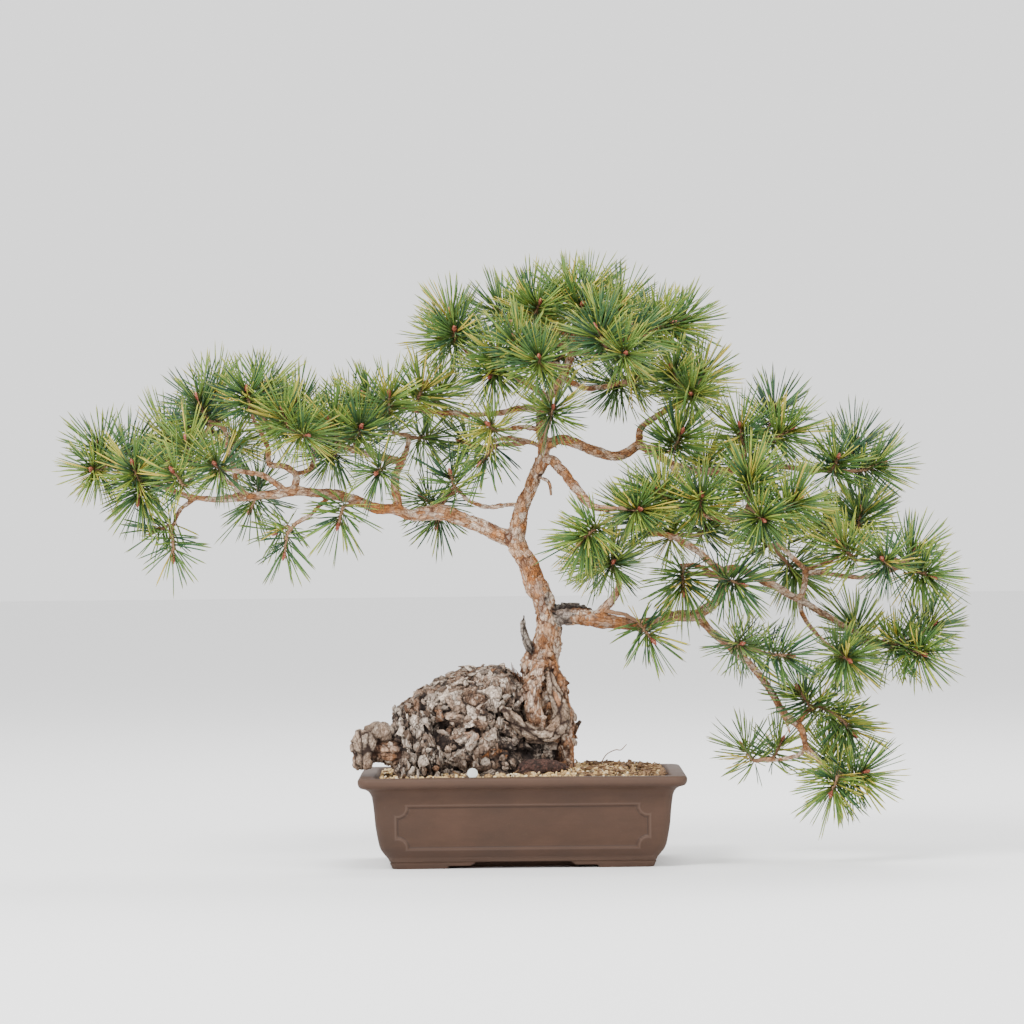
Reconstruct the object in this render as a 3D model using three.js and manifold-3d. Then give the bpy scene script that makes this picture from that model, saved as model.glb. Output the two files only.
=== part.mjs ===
// A Scots pine bonsai in an unglazed rectangular pot. Millimetres, +Z up, front towards -Y.
// The origin is on the ground under the middle of the pot.
import * as THREE from "three";
import { mergeVertices } from "three/addons/utils/BufferGeometryUtils.js";
import Module from "manifold-3d";

// Driving dimensions of the pot
const POT = {
  length: 284, // over the lip, along X
  width: 190, // over the lip, along Y
  height: 80,
  lipHeight: 9,
  wall: 9,
  floorTop: 15,
  footHeight: 5.6,
  footBand: 9.5,
  cornerRadius: 10,
  panelDepth: 1.1,
};
// Driving dimensions of the foliage
const NEEDLE = {
  length: 44,
  spread: 8,
  shorterAtFoot: 12,
  thick: 2.2,
  attempts: [[0, 0], [9, 0], [-9, 0], [0, 0.22], [0, -0.22], [16, 0.1], [-16, -0.1]], // lean, turn
};
const SHOOT = { length: 16, rows: 3, radius: 1.6 };
const TWIG = { radius: 1.9, collar: 2 };
const DEPTH = 1.18; // how much the foliage is spread from front to back
const GAP = 0.35; // left between two separate pieces that touch
const SOIL_TOP = 77; // level of the soil along the rim
const UP = new THREE.Vector3(0, 0, 1);

const wasm = await Module();
wasm.setup();

// Colours and finishes
const finish = (color, roughness) => new THREE.MeshStandardMaterial({ color, roughness, metalness: 0 });
const MATERIALS = {
  clay: finish(0x6b5245, 0.78),
  bark: finish(0x8a6a55, 0.9),
  needles: finish(0x3f6b2c, 0.6),
  soil: finish(0xb79a6b, 0.95),
  netting: finish(0x1d1f20, 0.6),
  tag: finish(0xe9ece6, 0.4),
};

// One seeded random stream, so that the tree grows the same way each time.
function randomStream(seed) {
  let state = seed;
  return () => {
    state = (state + 0x6d2b79f5) | 0;
    let t = Math.imul(state ^ (state >>> 15), 1 | state);
    t = (t + Math.imul(t ^ (t >>> 7), 61 | t)) ^ t;
    return ((t ^ (t >>> 14)) >>> 0) / 4294967296;
  };
}
const random = randomStream(41);
const between = (low, high) => low + (high - low) * random();
const vector = (point) => new THREE.Vector3(point[0], point[1], point[2]);

// Solids
function solidOf(geometry) {
  const bare = geometry.clone();
  bare.deleteAttribute("normal");
  bare.deleteAttribute("uv");
  const merged = mergeVertices(bare, 1e-4);
  return new wasm.Manifold(
    new wasm.Mesh({
      numProp: 3,
      vertProperties: new Float32Array(merged.attributes.position.array),
      triVerts: new Uint32Array(merged.index.array),
    }),
  );
}

function joined(solids) {
  return solids.reduce((whole, next) => whole.add(next));
}

function meshOf(name, solid, material) {
  const { vertProperties, triVerts } = solid.getMesh();
  const geometry = new THREE.BufferGeometry();
  geometry.setAttribute("position", new THREE.BufferAttribute(new Float32Array(vertProperties), 3));
  geometry.setIndex(new THREE.BufferAttribute(new Uint32Array(triVerts), 1));
  geometry.computeVertexNormals();
  const mesh = new THREE.Mesh(geometry, material);
  mesh.name = name;
  return mesh;
}

function boxSolid(size, centre) {
  return solidOf(new THREE.BoxGeometry(...size).translate(...centre));
}

// A closed cylinder whose rows and columns are moved by place(row, column): lofts and sweeps are made of it.
function shapedCylinder(columns, rows, place) {
  const geometry = new THREE.CylinderGeometry(1, 1, 1, columns, rows);
  const position = geometry.attributes.position;
  for (let i = 0; i < position.count; i++) {
    const x = position.getX(i);
    const z = position.getZ(i);
    const row = Math.round((position.getY(i) + 0.5) * rows);
    const isCentre = Math.hypot(x, z) < 0.5;
    const turn = Math.atan2(x, z) / (2 * Math.PI);
    const column = isCentre ? -1 : (Math.round(turn * columns) + columns) % columns;
    const moved = place(row, column);
    position.setXYZ(i, moved.x, moved.y, moved.z);
  }
  return solidOf(geometry);
}

// Ring points of a sweep through [x, y, z, radius], turned as little as possible from one to the next.
const FIRST_COLUMN = new THREE.Vector3(0.31, 0.92, 0.22);
function sweepRings(points, sides, shape = () => 1, firstColumn = FIRST_COLUMN) {
  const places = points.map(vector);
  const last = places.length - 1;
  const tangents = places.map((p, i) =>
    new THREE.Vector3().subVectors(places[Math.min(i + 1, last)], places[Math.max(i - 1, 0)]).normalize(),
  );
  let normal = firstColumn;
  return places.flatMap((centre, row) => {
    normal = normal.clone().addScaledVector(tangents[row], -normal.dot(tangents[row])).normalize();
    const side = new THREE.Vector3().crossVectors(tangents[row], normal);
    return Array.from({ length: sides }, (_, column) => {
      const angle = (column / sides) * 2 * Math.PI;
      const radius = points[row][3] * shape(angle, row);
      const point = centre.clone().addScaledVector(normal, Math.cos(angle) * radius);
      return point.addScaledVector(side, Math.sin(angle) * radius).toArray();
    });
  });
}

function sweep(points, sides, { grow = 0, ripple = 0 } = {}) {
  const grown = points.map(([x, y, z, radius]) => [x, y, z, radius + grow]);
  const rings = sweepRings(grown, sides, (angle, row) => 1 + ripple * Math.sin(3 * angle + row * 1.9));
  return shapedCylinder(sides, points.length - 1, (row, column) =>
    column < 0 ? vector(points[row]) : vector(rings[row * sides + column]),
  );
}

// The pot
const CORNER_STEPS = 3;
const OUTLINE_COLUMNS = 4 * (CORNER_STEPS + 1);

// Point of a rounded rectangle, counted round anticlockwise from the end of the +X side.
function roundedRectangle(column, halfX, halfY, radius) {
  const corner = Math.floor(column / (CORNER_STEPS + 1));
  const step = column % (CORNER_STEPS + 1);
  const angle = (corner + step / CORNER_STEPS) * (Math.PI / 2);
  const signX = corner === 0 || corner === 3 ? 1 : -1;
  const signY = corner < 2 ? 1 : -1;
  return [
    signX * (halfX - radius) + radius * Math.cos(angle),
    signY * (halfY - radius) + radius * Math.sin(angle),
  ];
}

// A loft through levels [z, inset from the lip's outline]
function potLoft(levels, shrink = 0) {
  return shapedCylinder(OUTLINE_COLUMNS, levels.length - 1, (row, column) => {
    const [z, inset] = levels[row];
    if (column < 0) return new THREE.Vector3(0, 0, z);
    const halfX = POT.length / 2 - inset - shrink;
    const halfY = POT.width / 2 - inset - shrink;
    const radius = Math.max(POT.cornerRadius - inset * 0.12, 5);
    const [x, y] = roundedRectangle(column, halfX, halfY, radius);
    return new THREE.Vector3(x, y, z);
  });
}

const LIP_BOTTOM = POT.height - POT.lipHeight;
const OUTER_LEVELS = [
  [0, 28.5],
  [5.2, 26.3],
  [5.7, 27.2],
  [POT.footBand, 24.8],
  [12, 22.5],
  [17, 19],
  [24, 17],
  [38, 14.6],
  [52, 13.4],
  [63, 12],
  [LIP_BOTTOM - 3, 9.5],
  [LIP_BOTTOM, 3.5],
  [LIP_BOTTOM + 2.5, 1],
  [POT.height - 1.5, 0],
  [POT.height, 1],
];
// The cavity follows the outside at the wall's thickness, and is straight inside the lip.
const CAVITY_LEVELS = [
  [POT.floorTop, 24.5 + POT.wall],
  [24, 17 + POT.wall],
  [52, 13.4 + POT.wall],
  [POT.height + 2, 12.6 + POT.wall - 4],
];

// Window panel outline: a rectangle whose corners step in with a scoop.
function panelShape(halfLength, low, high) {
  const corners = [
    [halfLength, low, 1, 1],
    [halfLength, high, 1, -1],
    [-halfLength, high, -1, -1],
    [-halfLength, low, -1, 1],
  ];
  const outline = corners.flatMap(([x, z, signX, signZ], i) => {
    const scoop = [
      new THREE.Vector2(x - signX * 12, z),
      new THREE.Vector2(x - signX * 7, z + signZ * 2.5),
      new THREE.Vector2(x - signX * 4, z + signZ * 6.5),
      new THREE.Vector2(x, z + signZ * 7.5),
    ];
    return i % 2 ? scoop.reverse() : scoop;
  });
  return new THREE.Shape(outline);
}

function panelPrism(halfLength, depthway) {
  const prism = new THREE.ExtrudeGeometry(panelShape(halfLength, 19, 54), {
    depth: POT.length,
    bevelEnabled: false,
    steps: 1,
  });
  prism.rotateX(Math.PI / 2).translate(0, POT.length / 2, 0);
  if (depthway) prism.rotateZ(Math.PI / 2);
  return solidOf(prism);
}

// The bracket-shaped gap between two feet, cut right through under the pot.
function footGap(halfLength, depthway) {
  const shape = new THREE.Shape();
  const top = POT.footHeight;
  shape.moveTo(-halfLength, -1);
  shape.lineTo(-halfLength, 0.4);
  shape.lineTo(-halfLength * 0.7, top * 0.48);
  shape.lineTo(-halfLength * 0.63, top);
  shape.lineTo(halfLength * 0.63, top);
  shape.lineTo(halfLength * 0.7, top * 0.48);
  shape.lineTo(halfLength, 0.4);
  shape.lineTo(halfLength, -1);
  const prism = new THREE.ExtrudeGeometry(shape, { depth: POT.length, bevelEnabled: false, steps: 1 });
  prism.rotateX(Math.PI / 2).translate(0, POT.length / 2, 0);
  if (depthway) prism.rotateZ(Math.PI / 2);
  return solidOf(prism);
}

const DRAIN = { x: 58, radius: 12 };
function potSolid() {
  const outside = potLoft(OUTER_LEVELS);
  const core = potLoft(OUTER_LEVELS, POT.panelDepth);
  let pot = outside.subtract(panelPrism(109, false).subtract(core));
  pot = pot.subtract(panelPrism(62, true).subtract(core));
  pot = pot.subtract(potLoft(CAVITY_LEVELS));
  pot = pot.subtract(footGap(65, false)).subtract(footGap(38, true));
  const underside = [
    [-1, 45],
    [POT.footHeight, 45],
  ];
  pot = pot.subtract(potLoft(underside));
  for (const side of [-1, 1]) {
    const drain = new THREE.CylinderGeometry(DRAIN.radius, DRAIN.radius, 40, 12);
    drain.rotateX(Math.PI / 2).translate(side * DRAIN.x, 0, POT.floorTop);
    pot = pot.subtract(solidOf(drain));
  }
  return pot;
}

// Drainage netting over each hole, inside on the floor.
const NET = { size: 32, thickness: 1.6, holes: 2, pitch: 14, hole: 10 };
function netSolid(side) {
  const z = POT.floorTop + GAP + NET.thickness / 2;
  let net = boxSolid([NET.size, NET.size, NET.thickness], [side * DRAIN.x, 0, z]);
  for (let i = 0; i < NET.holes; i++)
    for (let j = 0; j < NET.holes; j++) {
      const x = side * DRAIN.x + (i - 0.5) * NET.pitch;
      const y = (j - 0.5) * NET.pitch;
      net = net.subtract(boxSolid([NET.hole, NET.hole, 4], [x, y, z]));
    }
  return net;
}

// The wood. Each limb is a route of [x, y, z, radius] from where it leaves its parent outwards.
const LIMBS = {
  trunk: [
    [22, 6, 50, 25], [23, 5, 86, 22.5], [24, 4, 108, 22.5], [22, 3, 130, 22], [19, 2, 149, 20.5],
    [18, 2, 165, 18], [19, 2, 178, 15.5], [22, 1, 191, 12.5], [25, 0, 204, 10.5], [25, 0, 216, 10.5],
    [20, -1, 231, 9.6], [14, -2, 244, 9.8], [9, -2, 257, 9], [2, -1, 271, 8.4], [-3, 0, 283, 8.4],
    [-2, 1, 295, 7.6], [2, 0, 309, 6.8], [8, -2, 325, 6], [14, -4, 339, 6], [20, -5, 352, 5.8],
    [22, -5, 367, 5], [20, -4, 381, 4.6], [20, -2, 394, 4.5], [26, -1, 407, 4.2], [36, -2, 420, 4],
    [43, -4, 434, 3.7], [48, -6, 451, 3.3], [51, -7, 464, 2.9], [53, -8, 476, 2.5], [54, -8, 486, 2],
  ],
  leftMain: [
    [-3, 0, 283, 7.5], [-17, -1, 288, 7], [-30, -2, 294, 6.4], [-45, -3, 300, 6.4], [-58, -4, 305, 6.6],
    [-70, -5, 309, 7], [-83, -6, 307, 6.5], [-95, -7, 306, 5.3], [-107, -8, 311, 4.7], [-124, -9, 312, 4.6],
    [-139, -10, 318, 4.7], [-154, -11, 323, 4.6], [-171, -12, 326, 4.4], [-196, -13, 328, 4.4],
    [-213, -14, 326, 4], [-234, -16, 324, 3.7], [-256, -18, 322, 3.2], [-281, -20, 323, 2.7],
    [-299, -21, 328, 2.5], [-316, -22, 334, 2.3], [-334, -22, 340, 2.2], [-352, -20, 349, 2],
  ],
  leftFront: [[-237, -16, 324, 2.7], [-246, -24, 332, 2.5], [-258, -34, 340, 2.3], [-272, -44, 349, 2]],
  leftRise: [[-247, -17, 323, 2.6], [-249, -12, 343, 2.4], [-254, -6, 361, 2.2], [-258, 2, 381, 2]],
  leftCross: [[-203, -13, 327, 2.9], [-220, -22, 340, 2.6], [-235, -32, 345, 2.3], [-251, -40, 347, 2]],
  leftFork: [
    [-197, -13, 328, 3.5], [-196, -8, 343, 3.3], [-207, -2, 350, 3], [-220, 4, 353, 2.7],
    [-221, 8, 366, 2.4], [-226, 10, 378, 2.2], [-234, 8, 392, 2],
  ],
  leftInner: [[-196, -8, 343, 2.4], [-182, 6, 350, 2.3], [-182, 16, 367, 2.1], [-186, 20, 382, 2]],
  leftHang: [[-284, -20, 323, 2.2], [-297, -26, 312, 2], [-302, -31, 300, 1.9]],
  leftDrop: [[-164, -12, 325, 2.3], [-182, -14, 309, 2.1], [-197, -16, 299, 2]],
  leftRiser: [[-105, -8, 310, 4], [-109, -9, 328, 3.8], [-108, -10, 341, 3.6], [-103, -10, 353, 3.5]],
  leftUpper: [
    [-103, -10, 353, 3.4], [-118, -13, 357, 3.2], [-137, -16, 361, 3], [-151, -18, 367, 2.8],
    [-171, -19, 373, 2.4], [-190, -20, 380, 2.1],
  ],
  leftBack: [[-103, -10, 353, 2.9], [-99, 2, 362, 2.7], [-97, 16, 374, 2.2]],
  leftHigh: [
    [20, -2, 398, 3.2], [4, 0, 399, 3], [-13, 3, 396, 2.8], [-38, 6, 394, 2.6], [-63, 8, 396, 2.4],
    [-87, 10, 398, 2.2], [-104, 10, 402, 2],
  ],
  leftNear: [[20, -4, 381, 2.7], [2, -14, 382, 2.4], [-14, -32, 380, 2.1]],
  leftShade: [[22, -5, 365, 2.5], [4, 8, 371, 2.4], [-10, 20, 373, 2.2], [-28, 28, 371, 2]],
  leftMid: [[4, -1, 314, 2.3], [-13, 2, 314, 2.2], [-30, 5, 313, 2.1], [-44, 7, 318, 2], [-52, 6, 326, 2]],
  crownLeft: [[26, -1, 407, 3.2], [14, -5, 417, 3], [0, -11, 424, 2.7], [-14, -20, 430, 2.4]],
  crownFarLeft: [[-8, -15, 428, 2.5], [-24, -12, 437, 2.4], [-40, -8, 446, 2.2], [-50, -7, 454, 2]],
  crownFront: [[42, -4, 432, 2.9], [34, -22, 436, 2.7], [26, -44, 436, 2.4], [21, -62, 434, 2.1]],
  crownLow: [[40, -3, 425, 2.8], [58, 10, 417, 2.6], [76, 24, 418, 2.3], [92, 32, 422, 2]],
  crownRight: [[47, -6, 446, 2.7], [61, -22, 446, 2.5], [75, -40, 444, 2.3], [84, -54, 442, 2]],
  crownFarRight: [[49, -6, 455, 2.8], [64, -4, 463, 2.6], [84, -2, 469, 2.4], [106, 0, 472, 2.1]],
  crownBack: [[46, -5, 444, 2.9], [46, 18, 450, 2.7], [44, 42, 456, 2.4], [42, 62, 458, 2.1]],
  crownTop: [[50, -7, 460, 2.4], [38, 2, 467, 2.3], [24, 10, 474, 2.1], [8, 14, 479, 2]],
  rightHigh: [
    [22, -5, 365, 4.9], [38, -6, 371, 4.6], [54, -7, 366, 4.5], [69, -8, 360, 4.6], [82, -8, 356, 4.5],
    [95, -7, 359, 4.4], [105, -6, 366, 4.1],
  ],
  rightRise: [
    [105, -6, 366, 3.4], [108, -4, 380, 3.2], [118, -2, 389, 3], [138, 2, 400, 2.6], [150, 6, 410, 2.1],
  ],
  rightSpine: [
    [105, -6, 366, 3.9], [120, -5, 358, 3.7], [134, -2, 349, 3.5], [160, 3, 342, 3.2], [190, 5, 343, 2.9],
    [216, 5, 347, 2.6], [247, 4, 343, 2.3], [274, 2, 341, 2],
  ],
  rightPeak: [[186, 5, 343, 2.4], [199, 6, 357, 2.2], [210, 6, 372, 2]],
  rightShelf: [
    [134, -2, 349, 2.9], [144, -22, 330, 2.7], [156, -42, 308, 2.6], [174, -54, 300, 2.4], [190, -60, 301, 2.2],
  ],
  rightFront: [
    [20, -5, 352, 5], [30, -12, 353, 4.8], [38, -20, 343, 4.5], [50, -32, 328, 4.2], [61, -42, 314, 3.7],
    [75, -50, 310, 2.8], [88, -56, 310, 2.2],
  ],
  rightMain: [
    [25, 0, 215, 9], [38, -1, 217, 8.6], [50, -2, 216, 8], [62, -3, 214, 7], [77, -4, 211, 6.7],
    [93, -5, 209, 5.6], [107, -5, 207, 5.6], [124, -4, 212, 5.3], [141, -3, 215, 5.2], [154, -2, 216, 4.9],
    [165, 0, 221, 4.8], [174, 2, 229, 4.6], [178, 4, 241, 4.5], [181, 5, 253, 4.4], [190, 5, 256, 4],
    [207, 4, 249, 3.6], [228, 3, 238, 3.4], [246, 2, 228, 3.2], [263, 1, 218, 2.9], [282, -1, 206, 2.6],
    [301, -4, 195, 2.3], [318, -7, 189, 2],
  ],
  rightInner: [[66, -3, 215, 4.3], [80, -8, 229, 4], [86, -14, 242, 3.2], [84, -22, 254, 2.5], [78, -32, 260, 2.1]],
  rightBehind: [
    [180, 5, 252, 3.6], [166, 14, 264, 3.3], [150, 24, 277, 3], [134, 32, 285, 2.6], [118, 38, 288, 2.1],
  ],
  rightBelow: [[176, 2, 248, 2.4], [159, -8, 258, 2.2], [140, -18, 260, 2]],
  rightTurn: [[246, 2, 228, 2.8], [250, 4, 240, 2.6], [251, 6, 254, 2.5], [242, 12, 264, 2.3], [232, 18, 274, 2]],
  rightOuter: [[251, 6, 254, 2.4], [268, 10, 260, 2.3], [284, 12, 268, 2.1], [294, 12, 282, 2]],
  rightEdge: [
    [251, 6, 252, 2.5], [271, -8, 251, 2.4], [289, -20, 248, 2.3], [307, -30, 249, 2.2], [326, -32, 254, 2],
  ],
  rightDown: [[246, 2, 226, 2.3], [249, -8, 212, 2.2], [258, -20, 200, 2.1], [266, -30, 190, 2]],
  cascade: [
    [154, -2, 216, 4], [164, -4, 205, 3.7], [175, -6, 195, 3.6], [190, -8, 182, 3.4], [203, -10, 170, 3.3],
    [214, -12, 156, 3.3], [223, -13, 141, 3.4], [230, -14, 129, 3.7], [242, -15, 119, 3.4], [247, -16, 109, 3.1],
    [250, -17, 99, 3], [259, -18, 88, 2.6], [268, -20, 79, 2.3], [277, -22, 72, 2],
  ],
  cascadeOut: [[242, -15, 119, 2.3], [249, -12, 129, 2.2], [260, -10, 135, 2.1], [268, -8, 131, 2]],
  cascadeIn: [[250, -17, 101, 2.2], [243, -8, 92, 2.1], [230, 2, 88, 2], [216, 10, 87, 2]],
};

// Dead wood, surface roots and the folded root at the foot of the trunk: no foliage grows on these.
const ROOTS = {
  innerFold: [
    [19, -14, 174, 6], [11, -22, 158, 7.5], [9, -27, 142, 7.5], [13, -29, 126, 7.5], [18, -27, 112, 6],
  ],
  hookRoot: [
    [24, -18, 168, 4], [29, -25, 150, 6.2], [33, -28, 136, 7.2], [34, -30, 124, 7.2], [27, -33, 115, 7.2],
    [15, -37, 113, 7.2], [2, -42, 119, 6.6], [-9, -47, 129, 5], [-18, -49, 138, 3],
  ],
  outerFold: [[27, -12, 176, 4], [35, -13, 150, 5], [40, -12, 126, 6], [38, -14, 96, 8], [34, -16, 68, 9]],
  redRoot: [[-12, -40, 76, 7], [8, -45, 84, 9], [28, -42, 83, 8.5], [38, -30, 76, 7]],
  neck: [[-78, -22, 92, 24], [-98, -30, 96, 17], [-114, -38, 100, 11], [-126, -42, 102, 10]],
  slabOuter: [[-98, -42, 72, 9], [-100, -42, 94, 9.5], [-104, -38, 116, 8], [-108, -34, 139, 4]],
  slabInner: [[-78, -50, 72, 8], [-80, -51, 94, 9], [-86, -44, 116, 8], [-90, -36, 134, 5]],
  deadSpur: [[14, -4, 178, 5], [6, -8, 192, 4.2], [3, -9, 206, 2.8], [3, -9, 218, 1.4]],
  flakeRight: [[36, -2, 106, 6], [44, -3, 114, 4.5], [52, -4, 124, 1.6]],
  collarFlake: [[28, -1, 219, 7], [38, -2, 225, 3.6], [52, -3, 224, 2.6], [64, -3, 221, 1.6]],
  deadTwig: [[14, -5, 340, 2], [26, -12, 334, 1.7], [28, -14, 322, 1.3]],
  cascadeStub: [[231, -14, 126, 1.8], [235, -16, 112, 1.3]],
};

// Burls that bulge out of the wood: centre and half sizes
const BURLS = {
  knobHigh: [[-125, -40, 117], [14, 12, 10]],
  knobMain: [[-136, -44, 106], [13, 13, 16]],
  knobLow: [[-138, -46, 93], [9, 9, 8]],
  front: [[-80, -50, 86], [8, 10, 9]],
  middle: [[-25, -46, 96], [11, 9, 9]],
  high: [[-30, -40, 128], [9, 9, 7]],
};
function burlSolid([centre, half]) {
  const lump = new THREE.IcosahedronGeometry(1, 1).scale(...half);
  return solidOf(lump.translate(...centre));
}

// The swollen stump: an ellipsoid whose plates of old bark stand out between cracks.
const STUMP = { centre: [-35, -2, 106], half: [73, 49, 63], detail: 4, plates: 26, crack: 7 };
// Hollows of the stump behind the folded roots: middle, reach, depth.
const HOLLOWS = [
  { middle: [22, -38, 135], reach: 14, depth: 17 },
  { middle: [2, -46, 103], reach: 8, depth: 9 },
];
function stumpSolid(grow) {
  const geometry = new THREE.IcosahedronGeometry(1, STUMP.detail);
  const plateRandom = randomStream(7);
  const seeds = Array.from({ length: STUMP.plates }, (_, i) => {
    const height = 1 - (2 * (i + 0.5)) / STUMP.plates;
    const turn = i * 2.39996 + plateRandom() * 0.9;
    const ring = Math.sqrt(1 - height * height);
    return new THREE.Vector3(ring * Math.cos(turn), ring * Math.sin(turn), height);
  });
  const position = geometry.attributes.position;
  for (let i = 0; i < position.count; i++) {
    const p = vector([position.getX(i), position.getY(i), position.getZ(i)]);
    const away = seeds.map((seed) => seed.distanceTo(p)).sort((a, b) => a - b);
    const plate = Math.min((away[1] - away[0]) * 9, 1);
    const bulge = 2.5 * Math.sin(p.x * 5 + 1) + 2.5 * Math.sin(p.z * 6 + p.y * 4);
    const shoulder = 11 * Math.abs(p.x * p.z);
    const lift = plate * STUMP.crack + bulge + shoulder + grow - STUMP.crack;
    const scaled = p.clone().multiply(vector(STUMP.half));
    scaled.addScaledVector(p, lift).add(vector(STUMP.centre));
    for (const { middle, reach, depth } of HOLLOWS) {
      const apart = scaled.distanceToSquared(vector(middle));
      scaled.addScaledVector(p, -depth * Math.exp(-apart / (2 * reach * reach)));
    }
    position.setXYZ(i, scaled.x, scaled.y, scaled.z);
  }
  return solidOf(geometry);
}

const sidesFor = (radius) => (radius > 15 ? 9 : radius > 6.2 ? 7 : radius > 3.3 ? 5 : 4);
function limbSolid(route, grow = 0) {
  const thickest = Math.max(...route.map((point) => point[3]));
  return sweep(route, sidesFor(thickest), { grow, ripple: thickest > 15 ? 0.07 : 0.03 });
}

const FOOT_OF_TREE = 64; // the tree's foot is taken as flat at this height, inside the soil
const BELOW_FOOT = [[2 * POT.length, 2 * POT.length, 200], [0, 0, FOOT_OF_TREE - 100]];
const BURIED = ["innerFold", "outerFold", "redRoot", "neck", "slabOuter", "slabInner"];
// What stands in the soil, a little larger all round: the hole that the soil leaves for it.
function soilHole() {
  const room = GAP + 0.2;
  const buried = BURIED.map((name) => limbSolid(ROOTS[name], room));
  const [centre, half] = BURLS.front;
  const burl = burlSolid([centre, half.map((size) => size + 1.5 * room)]);
  const solid = joined([stumpSolid(room), limbSolid(LIMBS.trunk.slice(0, 4), room), burl, ...buried]);
  const [size, [x, y, z]] = BELOW_FOOT;
  return solid.subtract(boxSolid(size, [x, y, z - room]));
}

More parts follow.
